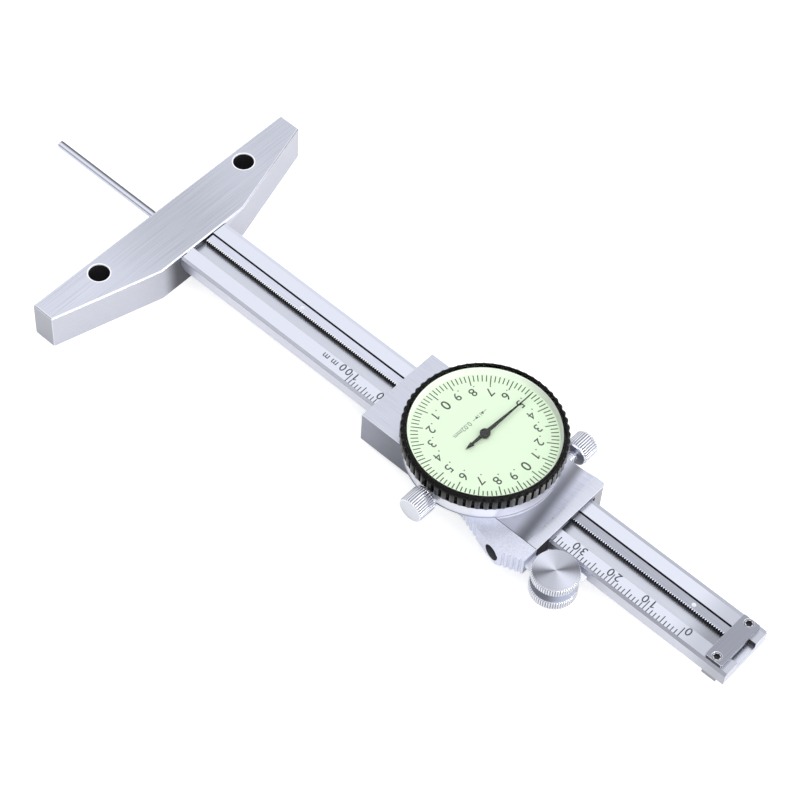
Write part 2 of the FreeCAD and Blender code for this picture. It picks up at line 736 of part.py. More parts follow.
# Bridge over the wheels, on two pillars
arm = bridge_arm_width / 2
half_pillars = pillar_spacing / 2
bridge = join([
    block(rack_pinion_x - arm, sprung_x + arm, -arm, arm, bridge_bottom, bridge_top),
    block(dial_x - arm, dial_x + arm, -half_pillars - arm, half_pillars + arm, bridge_bottom, bridge_top),
])
for x, y in ((rack_pinion_x, rack_pinion_y), (dial_x, 0), (sprung_x, 0)):
    bridge = bridge.cut(rod(pivot_r, V(x, y, bridge_bottom), UP, bridge_thickness))
pillars = []
bridge_screws = []
for y in (-half_pillars, half_pillars):
    size = (V(dial_x, y, bridge_top), DOWN, bridge_thickness + bridge_screw_bite)
    pillar = rod(pillar_r, V(dial_x, y, housing_floor_top), UP, bridge_lift)
    pillars.append(pillar.cut(flat_screw_shape(*size)))
    bridge = bridge.cut(flat_screw_shape(*size))
    bridge_screws.append(flat_screw(*size))

# Hairspring: a flat spiral round the sprung wheel's arbor, its outer end on a stud under the bridge
spring_top = bridge_bottom - spring_drop
steps_per_turn = 20
outer_side = []
inner_side = []
for i in range(spring_turns * steps_per_turn + 1):
    angle = i * 2 * math.pi / steps_per_turn
    radius = spring_inner_r + spring_step * i / steps_per_turn
    outer_side.append(polar(sprung_x, 0, radius + spring_strip, angle))
    inner_side.append(polar(sprung_x, 0, radius, angle))
hairspring = prism(outer_side + inner_side[::-1], spring_top - spring_height, spring_top)
stud_x = sprung_x + spring_inner_r + spring_step * spring_turns + spring_strip / 2
spring_stud = rod(spring_stud_r, V(stud_x, 0, spring_top), UP, spring_drop)

# Needle: hub, tapered blade and arrow-shaped tail, at its angle for the reading
needle_angle = 2 * math.pi * (reading % needle_mm_per_turn) / needle_mm_per_turn
tail_neck = needle_tail_r - tail_head_length
half_blade = [
    (-needle_tail_r, 0), (-tail_neck, tail_head_width / 2), (-tail_neck, tail_neck_width / 2),
    (0, needle_root_width / 2), (needle_tip_r - needle_tip_length, needle_tip_width / 2), (needle_tip_r, 0),
]
blade = half_blade + [(along, -across) for along, across in half_blade[-2:0:-1]]
needle = join([
    prism(blade, needle_bottom, needle_top),
    rod(needle_hub_r, V(0, 0, needle_bottom), UP, needle_thickness),
])
needle = needle.cut(rod(arbor_r, V(0, 0, needle_bottom), UP, needle_thickness))
needle.rotate(V(0, 0, 0), UP, math.degrees(needle_angle))
needle.translate(V(dial_x, 0, 0))


# A lock screw with a fluted knob and a plain collar, its axis along Y and pointing out to the given side
def lock_screw(x, z, side, tip_y, collar_y, knob_length, stem_r):
    out = V(0, side, 0)
    head = join([
        rod(knob_r - collar_step, V(0, 0, 0), UP, collar_thickness + collar_step),
        fluted_prism(0, 0, knob_r, knob_flutes, knob_flute_depth, collar_thickness, knob_length),
    ])
    head.Placement = FreeCAD.Placement(V(x, side * collar_y, z), FreeCAD.Rotation(UP, out))
    return join([head, rod(stem_r, V(x, side * tip_y, z), out, collar_y - tip_y)])


bezel_lock_z = housing_top - bezel_lock_drop
bezel_lock_hole_r = bezel_lock_stem_r + radial_play
housing = housing.cut(rod(bezel_lock_hole_r, V(dial_x, -housing_r, bezel_lock_z), LEFT, 2 * housing_wall))
bezel_lock_screw = lock_screw(
    dial_x, bezel_lock_z, -1, bezel_bore_r + radial_play, bezel_r + bezel_lock_gap,
    bezel_lock_length, bezel_lock_stem_r,
)
slide_lock_x = index_x - slide_lock_from_index
slide_lock_foot = V(slide_lock_x, gib_wall_y, beam_mid_z)
slide_lock_hole = rod(slide_lock_stem_r + radial_play, slide_lock_foot, LEFT, slider_half - gib_wall_y)
slider = slider.cut(slide_lock_hole)
slide_lock_screw = lock_screw(
    slide_lock_x, beam_mid_z, 1, gib_wall_y, slider_half + slide_lock_reach,
    slide_lock_length, slide_lock_stem_r,
)

save("base", base)
save("base_screws", *base_screws)
save("beam", beam)
save("rack", rack)
save("rack_pins", *rack_pins)
save("end_stop", end_stop)
save("end_stop_screws", *end_stop_screws)
save("back_stop", back_stop)
save("back_stop_screws", *back_stop_screws)
save("slider_body", slider)
save("dial_housing", housing)
save("housing_screws", *housing_screws)
save("gib_strip", gib)
save("gib_screws", *gib_screws)
save("depth_rod", depth_rod)
save("rod_clamp", rod_clamp)
save("rod_clamp_screws", *clamp_screws)
save("back_cover", back_cover)
save("cover_screws", *cover_screws)
save("thumb_rest", thumb_rest)
save("thumb_rest_screw", thumb_rest_screw)
save("roller_bracket", bracket)
save("bracket_screw", bracket_screw)
save("roller_axle", roller_axle)
save("upper_roller", upper_roller)
save("lower_roller", lower_roller)
save("bezel", bezel)
save("crystal", crystal)
save("dial_plate", dial_plate)
save("needle", needle)
save("centre_pinion", centre_pinion)
save("rack_pinion", rack_pinion)
save("drive_wheel", drive_wheel)
save("sprung_wheel", sprung_wheel)
save("sprung_arbor", sprung_arbor)
save("rack_pinion_bush", bush)
save("movement_bridge", bridge)
save("bridge_pillars", *pillars)
save("bridge_screws", *bridge_screws)
save("hairspring", hairspring)
save("spring_stud", spring_stud)
save("bezel_lock_screw", bezel_lock_screw)
save("slide_lock_screw", slide_lock_screw)
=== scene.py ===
import bmesh
import bpy
import json
import math
from mathutils import Matrix, Vector
from types import SimpleNamespace as Look

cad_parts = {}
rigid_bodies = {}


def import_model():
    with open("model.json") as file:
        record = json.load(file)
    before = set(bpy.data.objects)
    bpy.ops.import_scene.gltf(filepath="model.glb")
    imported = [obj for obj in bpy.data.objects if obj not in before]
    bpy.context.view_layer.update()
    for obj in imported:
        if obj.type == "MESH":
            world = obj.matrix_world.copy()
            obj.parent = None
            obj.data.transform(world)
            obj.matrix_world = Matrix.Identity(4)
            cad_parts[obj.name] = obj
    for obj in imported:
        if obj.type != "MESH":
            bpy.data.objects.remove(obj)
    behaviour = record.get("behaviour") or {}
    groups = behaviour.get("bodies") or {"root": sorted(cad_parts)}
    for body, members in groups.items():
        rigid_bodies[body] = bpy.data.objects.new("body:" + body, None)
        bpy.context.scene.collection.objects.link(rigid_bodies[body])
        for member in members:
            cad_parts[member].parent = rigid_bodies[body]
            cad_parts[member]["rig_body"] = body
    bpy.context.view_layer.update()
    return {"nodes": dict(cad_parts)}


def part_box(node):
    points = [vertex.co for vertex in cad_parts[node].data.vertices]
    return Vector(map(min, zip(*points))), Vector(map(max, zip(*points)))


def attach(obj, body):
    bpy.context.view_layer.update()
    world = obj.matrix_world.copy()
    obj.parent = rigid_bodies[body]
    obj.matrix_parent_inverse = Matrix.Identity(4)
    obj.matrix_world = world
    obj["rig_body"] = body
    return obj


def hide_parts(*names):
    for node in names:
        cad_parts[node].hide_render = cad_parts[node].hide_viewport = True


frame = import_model()
nodes = frame["nodes"]
mm = 0.001
# Vertices nearer than this, in metres, are one
weld = 2e-7
# Radius in millimetres of the points on a turned piece's own axis
core = 0.001
print("frame loaded")


# Places read from the frame, in millimetres
def boxMm(node):
    low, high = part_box(node)
    return low / mm, high / mm


def middleMm(node):
    low, high = boxMm(node)
    return (low + high) / 2


dialAxis = middleMm("crystal")
rollerAxis = middleMm("upper_roller")
beamHigh = boxMm("beam")[1]
plateLow, plateHigh = boxMm("dial_plate")
crystalLow = boxMm("crystal")[0]
bezelLow, bezelHigh = boxMm("bezel")
sliderHigh = boxMm("slider_body")[1]


# Node groups shared by the finishes
def newGroup(name, inputs, outputs):
    group = bpy.data.node_groups.new(name, "ShaderNodeTree")
    for label, kind, value in inputs:
        socket = group.interface.new_socket(label, in_out="INPUT", socket_type=kind)
        if value is not None:
            socket.default_value = value
    for label, kind in outputs:
        group.interface.new_socket(label, in_out="OUTPUT", socket_type=kind)
    source = group.nodes.new("NodeGroupInput")
    sink = group.nodes.new("NodeGroupOutput")
    return group, source, sink


def floatInputs(defaults):
    return [(label, "NodeSocketFloat", value) for label, value in defaults.items()]


# An input is named by its label, or by i and its number where labels repeat
def addNode(tree, kind, settings=None, **inputs):
    node = tree.nodes.new(kind)
    for name, value in (settings or {}).items():
        setattr(node, name, value)
    for key, value in inputs.items():
        socket = node.inputs[int(key[1:])] if key[0] == "i" and key[1:].isdigit() else node.inputs[key]
        if isinstance(value, bpy.types.NodeSocket):
            tree.links.new(value, socket)
        else:
            socket.default_value = value
    return node


def mathNode(tree, operation, a, b=0.0):
    return addNode(tree, "ShaderNodeMath", {"operation": operation}, i0=a, i1=b).outputs[0]


def vectorNode(tree, operation, **inputs):
    return addNode(tree, "ShaderNodeVectorMath", {"operation": operation}, **inputs).outputs


def noiseNode(tree, vector, scale, detail):
    return addNode(tree, "ShaderNodeTexNoise", None, Vector=vector, Scale=scale, Detail=detail).outputs["Fac"]


# The first value with a share of the second in it
def blendNode(tree, first, second, share):
    kept = mathNode(tree, "MULTIPLY", first, 1 - share)
    return mathNode(tree, "ADD", kept, mathNode(tree, "MULTIPLY", second, share))


# A pattern gives a value about 0.5, spread by its contrast, and the height that goes with it
def startPattern(name, label, kind, value):
    return newGroup(
        name,
        [("Vector", "NodeSocketVector", None), (label, kind, value), ("Contrast", "NodeSocketFloat", 1.0)],
        [("Value", "NodeSocketFloat"), ("Height", "NodeSocketFloat")],
    )


def endPattern(group, source, sink, value, height):
    centred = mathNode(group, "MULTIPLY", mathNode(group, "SUBTRACT", value, 0.5), source.outputs[2])
    group.links.new(mathNode(group, "ADD", centred, 0.5), sink.inputs[0])
    group.links.new(height, sink.inputs[1])
    return group


# Fine parallel scratches: Stretch is the number of scratches per metre along each axis
def makeStreakGroup():
    group, source, sink = startPattern("brushedStreaks", "Stretch", "NodeSocketVector", (1, 1, 1))
    place, stretch = source.outputs[:2]
    scaled = vectorNode(group, "MULTIPLY", i0=place, i1=stretch)[0]
    fine, wide = noiseNode(group, scaled, 1.0, 3.0), noiseNode(group, scaled, 0.22, 1.0)
    both = blendNode(group, fine, wide, 0.15)
    mixed = blendNode(group, both, noiseNode(group, place, 60.0, 1.0), 0.1)
    return endPattern(group, source, sink, mixed, both)


# Turning marks: rings round the Z axis of the incoming coordinates
def makeRingGroup():
    group, source, sink = startPattern("turnedRings", "Rings per metre", "NodeSocketFloat", 6000.0)
    place, perMetre = source.outputs[:2]
    flat = vectorNode(group, "MULTIPLY", i0=place, i1=(1, 1, 0))[0]
    radius = vectorNode(group, "LENGTH", i0=flat)["Value"]
    line = addNode(group, "ShaderNodeCombineXYZ", None, X=mathNode(group, "MULTIPLY", radius, perMetre))
    noise = noiseNode(group, line.outputs[0], 1.0, 2.0)
    return endPattern(group, source, sink, noise, noise)


# Bead-blasted grain
def makeGrainGroup():
    group, source, sink = startPattern("blastedGrain", "Grains per metre", "NodeSocketFloat", 5000)
    grain = noiseNode(group, source.outputs[0], source.outputs[1], 2.0)
    return endPattern(group, source, sink, grain, grain)


# Shades a colour from one factor to another along a straight line between two places
def makeFadeGroup():
    inputs = [("Color", "NodeSocketColor", None)]
    inputs += floatInputs({"Place": 0.0, "Start": 0.0, "End": 1.0, "First": 1.0, "Last": 1.0})
    group, source, sink = newGroup("fadeAlong", inputs, [("Color", "NodeSocketColor")])
    ramp = addNode(group, "ShaderNodeMapRange", {"interpolation_type": "SMOOTHSTEP"}, Value=source.outputs[1])
    for output, label in enumerate(("From Min", "From Max", "To Min", "To Max"), 2):
        group.links.new(source.outputs[output], ramp.inputs[label])
    scaled = vectorNode(group, "SCALE", i0=source.outputs[0], Scale=ramp.outputs[0])[0]
    group.links.new(scaled, sink.inputs[0])
    return group


# Painted reflection: the bright and dark fans of a turned disc, painted round the Z axis of the incoming
# coordinates
def makeFanGroup():
    inputs = [("Vector", "NodeSocketVector", None)]
    inputs += floatInputs({"Bright angle": 0.0, "Dark angle": 1.0, "Base": 0.82, "Bright": 0.4, "Dark": 0.5})
    group, source, sink = newGroup("paintedFanReflection", inputs, [("Value", "NodeSocketFloat")])
    parts = addNode(group, "ShaderNodeSeparateXYZ", None, Vector=source.outputs[0])
    angle = mathNode(group, "ARCTAN2", parts.outputs[1], parts.outputs[0])
    total = source.outputs["Base"]
    for label, sharpness, operation in (("Bright", 5.0, "ADD"), ("Dark", 14.0, "SUBTRACT")):
        wave = mathNode(group, "COSINE", mathNode(group, "SUBTRACT", angle, source.outputs[label + " angle"]))
        lobe = mathNode(group, "POWER", mathNode(group, "ABSOLUTE", wave), sharpness)
        total = mathNode(group, operation, total, mathNode(group, "MULTIPLY", lobe, source.outputs[label]))
    group.links.new(total, sink.inputs[0])
    return group


fans = makeFanGroup()
fades = makeFadeGroup()
streaks = makeStreakGroup()
rings = makeRingGroup()
grains = makeGrainGroup()


def shaderOf(material):
    return material.node_tree.nodes["Principled BSDF"]


def setShader(material, values):
    for label, value in values.items():
        shaderOf(material).inputs[label].default_value = value


def newMaterial(name, values):
    material = bpy.data.materials.new(name)
    material.use_nodes = True
    setShader(material, values)
    return material


def coordinatesOf(tree):
    return tree.nodes.new("ShaderNodeTexCoord").outputs["Object"]


# Object coordinates that start at a place in millimetres
def coordinatesAt(tree, centre):
    place = [c * mm for c in centre]
    moved = addNode(
        tree, "ShaderNodeMapping", {"vector_type": "TEXTURE"}, Vector=coordinatesOf(tree), Location=place,
    )
    return moved.outputs[0]


def shade(colour, factor):
    return tuple(min(1.0, c * factor) for c in colour)


# Puts a pattern's value on colour and roughness, and its height, in metres, on the normal
def wearFinish(material, pattern, colour, spread, roughness, swing, bump, height):
    tree, shader = material.node_tree, shaderOf(material)
    tones = addNode(tree, "ShaderNodeMix", {"data_type": "RGBA"}, Factor=pattern.outputs["Value"])
    tones.inputs[6].default_value = (*shade(colour, 1 - spread), 1)
    tones.inputs[7].default_value = (*shade(colour, 1 + spread), 1)
    tree.links.new(tones.outputs[2], shader.inputs["Base Color"])
    rough = addNode(tree, "ShaderNodeMapRange", None, Value=pattern.outputs["Value"])
    rough.inputs["To Min"].default_value = roughness * (1 - swing)
    rough.inputs["To Max"].default_value = roughness * (1 + swing)
    tree.links.new(rough.outputs[0], shader.inputs["Roughness"])
    relief = addNode(
        tree, "ShaderNodeBump", None, Height=pattern.outputs["Height"], Strength=bump, Distance=height,
    )
    tree.links.new(relief.outputs[0], shader.inputs["Normal"])
    return material


def addPattern(tree, group, place, contrast, label, value):
    pattern = addNode(tree, "ShaderNodeGroup", {"node_tree": group}, Vector=place, Contrast=contrast)
    pattern.inputs[label].default_value = value
    return pattern


def brushedSteel(name, colour, stretch, roughness, contrast, bump, spread):
    material = newMaterial(name, {"Metallic": 1.0})
    tree = material.node_tree
    pattern = addPattern(tree, streaks, coordinatesOf(tree), contrast, "Stretch", stretch)
    return wearFinish(material, pattern, colour, spread, roughness, 0.2, bump, 0.00002)


def turnedSteel(name, colour, centre, roughness, contrast, bump, spread):
    material = newMaterial(name, {"Metallic": 1.0})
    tree = material.node_tree
    pattern = addPattern(tree, rings, coordinatesAt(tree, centre), contrast, "Rings per metre", 6000.0)
    return wearFinish(material, pattern, colour, spread, roughness, 0.15, bump, 0.00002)


def grainedFinish(name, colour, metallic, roughness, contrast, bump, spread, perMetre=3000):
    material = newMaterial(name, {"Metallic": metallic})
    tree = material.node_tree
    pattern = addPattern(tree, grains, coordinatesOf(tree), contrast, "Grains per metre", perMetre)
    return wearFinish(material, pattern, colour, spread, roughness, 0.15, bump, 0.00003)


# Multiplies a finish's colour by a fade, along object axis 0, 1 or 2 turned about Z, between two places in
# millimetres; most fades below are painted light and shade
def addFade(material, axis, start, end, first, last, turn=0.0):
    tree = material.node_tree
    socket = shaderOf(material).inputs["Base Color"]
    turned = addNode(
        tree, "ShaderNodeMapping", {"vector_type": "POINT"}, Vector=coordinatesOf(tree),
        Rotation=(0, 0, math.radians(-turn)),
    )
    parts = addNode(tree, "ShaderNodeSeparateXYZ", None, Vector=turned.outputs[0])
    fade = addNode(
        tree, "ShaderNodeGroup", {"node_tree": fades}, Color=socket.links[0].from_socket,
        Place=parts.outputs[axis], Start=start * mm, End=end * mm, First=first, Last=last,
    )
    tree.links.new(fade.outputs[0], socket)
    return material


# Multiplies a finish's colour by the painted reflection fans of a turned disc
def addFan(material, centre, brightAngle, darkAngle):
    tree = material.node_tree
    socket = shaderOf(material).inputs["Base Color"]
    fan = addNode(tree, "ShaderNodeGroup", {"node_tree": fans}, Vector=coordinatesAt(tree, centre))
    fan.inputs["Bright angle"].default_value = math.radians(brightAngle)
    fan.inputs["Dark angle"].default_value = math.radians(darkAngle)
    tree.links.new(vectorNode(tree, "SCALE", i0=socket.links[0].from_socket, Scale=fan.outputs[0])[0], socket)
    return material


colours = {
    "steel": (0.575, 0.59, 0.675),
    # painted light: a lighter copy of the steel for upright faces
    "sideBright": (0.78, 0.79, 0.88),
    # painted shade: a darker copy of the steel for the slider's upright faces
    "side": (0.27, 0.28, 0.33),
    "rail": (0.73, 0.75, 0.85),
    "grey": (0.32, 0.33, 0.385),
    "rack": (0.42, 0.43, 0.50),
    "bright": (0.84, 0.85, 0.92),
    # painted highlight for rounded edges
    "edge": (0.90, 0.91, 0.96),
    # painted highlight of the rings round the base's holes
    "rim": (0.95, 0.96, 1.0),
    # painted light: a bright colour for the lower disc's step
    "step": (0.80, 0.84, 1.0),
    "shadow": (0.012, 0.012, 0.016),
    "ink": (0.05, 0.055, 0.07),
    "dial": (0.80, 0.97, 0.73),
    "wall": (0.92, 1.0, 0.87),
    "dialInk": (0.05, 0.065, 0.05),
    "note": (0.15, 0.18, 0.15),
    "black": (0.004, 0.004, 0.0035),
    "lobe": (0.008, 0.008, 0.0077),
    "needle": (0.016, 0.017, 0.016),
    "brass": (0.72, 0.55, 0.27),
}
# Scratches per metre along each axis
alongX = (160, 4200, 4200)
alongY = (6500, 45, 6500)
alongScoop = (160, 4200, 160)
# Brushed finishes: colour, its factor, scratches, roughness, contrast, bump, spread
brushedLook = {
    "base": ("steel", 1, alongY, 0.3, 2.6, 0.3, 0.17),
    # the base's upright faces take the lighter steel copy as painted light
    "baseSide": ("sideBright", 1, alongY, 0.35, 1.6, 0.2, 0.1),
    # painted shade: the base's end faces, and the +Y part of the slider's end, darker
    "baseEnd": ("sideBright", 0.55, alongY, 0.35, 1.6, 0.2, 0.1),
    # the base's front beside the beam, with painted shade laid on it below
    "baseFront": ("sideBright", 1, alongY, 0.35, 1.6, 0.2, 0.1),
    "rail": ("rail", 1, alongX, 0.3, 1.0, 0.01, 0.02),
    # the rail bevels, painted darker as shade
    "railBevel": ("rail", 0.95, alongX, 0.4, 1.0, 0.02, 0.03),
    # the channel floor, painted darker as shade
    "channel": ("rail", 0.82, alongX, 0.3, 1.6, 0.05, 0.06),
    # the beam's sides and end take the lighter steel copy as painted light
    "railSide": ("sideBright", 1, alongX, 0.32, 1.6, 0.12, 0.08),
    "beamEnd": ("sideBright", 0.95, alongY, 0.35, 1.6, 0.1, 0.06),
    "rack": ("rack", 1, alongX, 0.34, 2.0, 0.2, 0.14),
    "slider": ("steel", 1.04, alongX, 0.3, 1.8, 0.2, 0.12),
    # the slider's sides are painted darker as shade
    "sliderSide": ("side", 1, alongX, 0.35, 1.6, 0.15, 0.1),
    # the scoop, with a painted reflection laid on it below
    "scoop": ("steel", 1, alongScoop, 0.6, 2.4, 0.1, 0.14),
    "stop": ("grey", 1, alongY, 0.32, 2.0, 0.2, 0.16),
    # the end stop's front, painted darker as shade
    "stopSide": ("grey", 0.22, alongX, 0.4, 2.0, 0.1, 0.2),
    # painted light: the strip at the slider's end lighter than the top
    "strip": ("steel", 1.16, alongX, 0.3, 1.8, 0.15, 0.08),
}
# Grained finishes: colour, its factor, metallic, roughness, contrast, bump, spread, and grains per metre
# where they aren't 3000
grainedLook = {
    "shadow": ("shadow", 1, 0, 0.6, 0.5, 0.05, 0.1),
    # painted highlight on rounded edges
    "edge": ("edge", 1, 1, 0.3, 0.5, 0.05, 0.02),
    # painted highlight round the base's holes
    "rim": ("rim", 1, 0.1, 0.4, 0.5, 0.05, 0.02),
    "bracket": ("bright", 1, 0.2, 0.35, 0.6, 0.05, 0.03),
    "screwRing": ("bright", 0.8, 1, 0.25, 0.5, 0.05, 0.03),
    "blasted": ("steel", 1.3, 1, 0.55, 2.2, 0.3, 0.12, 3600),
    # painted shade inside the thumb rest's bore
    "boreDark": ("grey", 0.5, 0.6, 0.5, 1.0, 0.1, 0.1),
    "plain": ("grey", 1, 1, 0.35, 0.6, 0.08, 0.04),
    "rod": ("steel", 1.25, 1, 0.2, 1.0, 0.05, 0.05),
    "plainBright": ("bright", 1, 1, 0.25, 0.6, 0.06, 0.03),
    "bezel": ("black", 1, 0, 0.35, 0.8, 0.02, 0.2, 4000),
    # the bezel's lobes, with a painted highlight laid on them below, and painted shade in the grooves between
    # them
    "bezelLobe": ("lobe", 1, 0, 0.3, 0.8, 0.1, 0.2, 4000),
    "bezelGroove": ("black", 0.5, 0, 0.5, 0.8, 0.1, 0.2, 4000),
    "dial": ("dial", 1, 0, 0.5, 0.4, 0.02, 0.01, 2000),
    # the dial's wall, which also gets a painted glow and painted shade below
    "wall": ("wall", 1, 0, 0.4, 0.4, 0.02, 0.01, 2000),
    "ink": ("ink", 1, 0, 0.5, 0.6, 0.05, 0.1, 5000),
    "dialInk": ("dialInk", 1, 0, 0.5, 0.6, 0.05, 0.1, 5000),
    "noteInk": ("note", 1, 0, 0.5, 0.6, 0.05, 0.1, 5000),
    "needle": ("needle", 1, 0, 0.25, 0.6, 0.05, 0.1, 5000),
    "brass": ("brass", 1, 1, 0.3, 0.8, 0.08, 0.05),
    "rollerRim": ("bright", 1, 1, 0.25, 0.5, 0.05, 0.03),
    # painted shade in the roller's knurl valleys
    "rollerGroove": ("bright", 0.62, 1, 0.4, 0.5, 0.05, 0.03),
    "knob": ("bright", 1, 1, 0.2, 0.5, 0.05, 0.03),
    "knobEnd": ("bright", 0.85, 1, 0.4, 1.0, 0.1, 0.05),
    # painted shade in the knob's valleys and on its face towards the slider
    "knobBack": ("grey", 1, 1, 0.3, 0.8, 0.1, 0.05),
}
# Turned finishes: colour, centre, roughness, contrast, bump, spread
turnedLook = {
    "polished": ("bright", (dialAxis.x, 0, 0), 0.24, 0.6, 0.03, 0.02),
    "rollerTop": ("steel", (rollerAxis.x, rollerAxis.y, 0), 0.3, 2.0, 0.15, 0.08),
    # the lower disc's step, a bright colour as painted light with painted shade laid on it below
    "rollerStep": ("step", (rollerAxis.x, rollerAxis.y, 0), 0.35, 1.6, 0.1, 0.1),
}
# Fades laid on finishes, most of them painted light and shade: axis, start and end in millimetres, first and
# last factor, turn in degrees
fadeLook = {
    # the base's top darker in the middle and lighter towards both ends
    "base": [(1, -28, -5, 1.08, 0.86), (1, 4, 26, 1.0, 1.13)],
    # the base's other upright faces darker towards +Y
    "baseSide": [(1, 0, 8, 1.0, 0.8)],
    # painted shade on the base's front beside the beam on the -Y side; the +Y side is brought back up
    "baseFront": [(1, -14, -8.5, 0.8, 0.2), (1, 7.6, 8.2, 1.0, 4.6)],
    # painted shade on the rails near the end stop
    "rail": [(0, 164, 174, 1.0, 0.74)],
    # painted shade: the bevels and the far rail's line darken towards the end stop
    "railBevel": [(0, 40, 165, 1.0, 0.68)],
    # painted shade in the channel near the end stop, and painted light on it beyond the plate
    "channel": [(0, 166, 174, 1.0, 0.55), (0, 175.5, 181, 1.0, 2.2)],
    # painted shade on the beam's side, darker towards the end stop
    "railSide": [(0, 60, 165, 0.95, 0.86), (0, 170, 180, 1.0, 0.7)],
    # painted light: the rack's front edge and its left part lighter
    "rack": [(1, 0.86, 1.04, 2.0, 1.0), (0, 70, 130, 1.6, 1.0)],
    # painted shade: the slider's side lighter towards -X and darker towards +X
    "sliderSide": [(0, 78.5, 92, 1.25, 0.72)],
    # painted reflection in the scoop: lighter towards +Y, a dark band where the bezel is reflected and a
    # lighter band beyond it
    "scoop": [(1, -6, 9, 1.0, 1.3), (0, 120.6, 124.2, 1.0, 0.42, 8.5), (0, 124.2, 126.8, 1.0, 2.5, 8.5)],
    # painted shade on one side of the rod
    "rod": [(1, -0.45, 0.25, 1.0, 0.3)],
    # painted highlight on the bezel's lobes towards +X
    "bezelLobe": [(0, 121.2, 122.8, 1.0, 20.0)],
    # painted shade on one side of the dial's wall
    "wall": [(0, 88, 99, 1.0, 0.55, 38.7)],
    # painted shade: the step dark on one side, up to its full colour on the other
    "rollerStep": [(0, 97.5, 102, 0.4, 1.0, 38.7)],
}
shaderLook = {
    # painted glow: the dial's wall gives off light, though it is no lamp
    "wall": {"Emission Color": (0.95, 1.0, 0.92, 1), "Emission Strength": 0.12},
    "polished": {"Metallic": 0.55},
    "rollerStep": {"Metallic": 0.6},
    "bezel": {"Specular IOR Level": 0.05, "Coat Weight": 0.15, "Coat Roughness": 0.06},
    "bezelLobe": {"Specular IOR Level": 0.1, "Coat Weight": 0.5, "Coat Roughness": 0.06},
    "bezelGroove": {"Specular IOR Level": 0.0, "Coat Weight": 0.1, "Coat Roughness": 0.06},
}
crystalLook = {"Base Color": (1, 1, 1, 1), "Roughness": 0, "IOR": 1.12, "Alpha": 1, "Transmission Weight": 1}
materials = {"crystal": newMaterial("crystalClear", crystalLook)}
for makeFinish, looks in ((brushedSteel, brushedLook), (grainedFinish, grainedLook)):
    for key, (colour, factor, *wear) in looks.items():
        materials[key] = makeFinish(key + "Finish", shade(colours[colour], factor), *wear)
for key, (colour, *wear) in turnedLook.items():
    materials[key] = turnedSteel(key + "Finish", colours[colour], *wear)
for key, places in fadeLook.items():
    for place in places:
        addFade(materials[key], *place)
for key, values in shaderLook.items():
    setShader(materials[key], values)
print("materials made")


def linkObject(name, data):
    made = bpy.data.objects.new(name, data)
    bpy.context.scene.collection.objects.link(made)
    return made


# Gives a finished mesh its object, body and finishes, and hides the nodes that it stands for
def finishPiece(name, bm, body, mats, sharp, replaced=(), recalc=False):
    bmesh.ops.remove_doubles(bm, verts=bm.verts, dist=weld)
    if recalc:
        bmesh.ops.recalc_face_normals(bm, faces=bm.faces)
    for face in bm.faces:
        face.smooth = True
    limit = math.radians(sharp)
    for edge in bm.edges:
        if len(edge.link_faces) == 2 and edge.calc_face_angle(0) > limit:
            edge.smooth = False
    mesh = bpy.data.meshes.new(name)
    bm.to_mesh(mesh)
    bm.free()
    piece = linkObject(name, mesh)
    for key in mats:
        mesh.materials.append(materials[key])
    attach(piece, body)
    if replaced:
        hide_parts(*replaced)
    return piece


# A merged copy of a CAD node, with its flat faces whole and its edges slightly rounded: paint gives a
# face's finish, edgeKey is the finish of the rounded edges and reshape changes the mesh before that
def dressNode(node, name, mats, edge, sharp=30, paint=None, edgeKey=None, reshape=None, flat=0.6):
    source = nodes[node]
    bm = bmesh.new()
    bm.from_mesh(source.data)
    bmesh.ops.remove_doubles(bm, verts=bm.verts, dist=weld)
    bmesh.ops.dissolve_limit(bm, angle_limit=math.radians(flat), verts=bm.verts, edges=bm.edges)
    if reshape:
        reshape(bm)
    if paint:
        for face in bm.faces:
            face.material_index = mats.index(paint(face))
    keys = mats + [edgeKey] if edgeKey else mats
    piece = finishPiece(name, bm, source["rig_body"], keys, sharp, [node])
    if edge:
        rounding = piece.modifiers.new("edges", "BEVEL")
        rounding.limit_method = "ANGLE"
        rounding.angle_limit = math.radians(sharp)
        rounding.width = edge * mm
        rounding.segments = 2
        rounding.harden_normals = True
        rounding.material = len(mats) if edgeKey else -1
        rounding.use_clamp_overlap = not edgeKey


def centreOf(face):
    return face.calc_center_median() / mm


# Cuts a mesh along a plane through a place in millimetres and gives the edges of the cut
def cutAlong(bm, place, normal, drop=False):
    cut = bmesh.ops.bisect_plane(
        bm, geom=bm.verts[:] + bm.edges[:] + bm.faces[:], plane_co=[c * mm for c in place], plane_no=normal,
        clear_outer=drop,
    )
    return [item for item in cut["geom_cut"] if isinstance(item, bmesh.types.BMEdge)]


# Drops what lies beyond a plane and closes the opening
def trimAlong(bm, place, normal, sides):
    bmesh.ops.holes_fill(bm, edges=cutAlong(bm, place, normal, True), sides=sides)


# Base: brushed top; its upright faces take a lighter copy of the steel as painted light, its ends are painted
# darker and its front carries painted shade beside the beam; the holes' walls are painted near black as shade
baseHoles = {"x": 4.05, "y": 24.9, "reach": 3}


def paintBase(face):
    centre = centreOf(face)
    if abs(face.normal.z) > 0.5:
        return "base"
    if math.hypot(centre.x - baseHoles["x"], abs(centre.y) - baseHoles["y"]) < baseHoles["reach"]:
        return "shadow"
    if face.normal.y < -0.9:
        return "baseEnd"
    return "baseFront" if face.normal.x > 0.9 and centre.y < 0 else "baseSide"


# the base's rounded edges carry a painted highlight
dressNode(
    "base", "baseBar", ["base", "baseSide", "baseFront", "shadow", "baseEnd"], 0.08,
    paint=paintBase, edgeKey="edge",
)


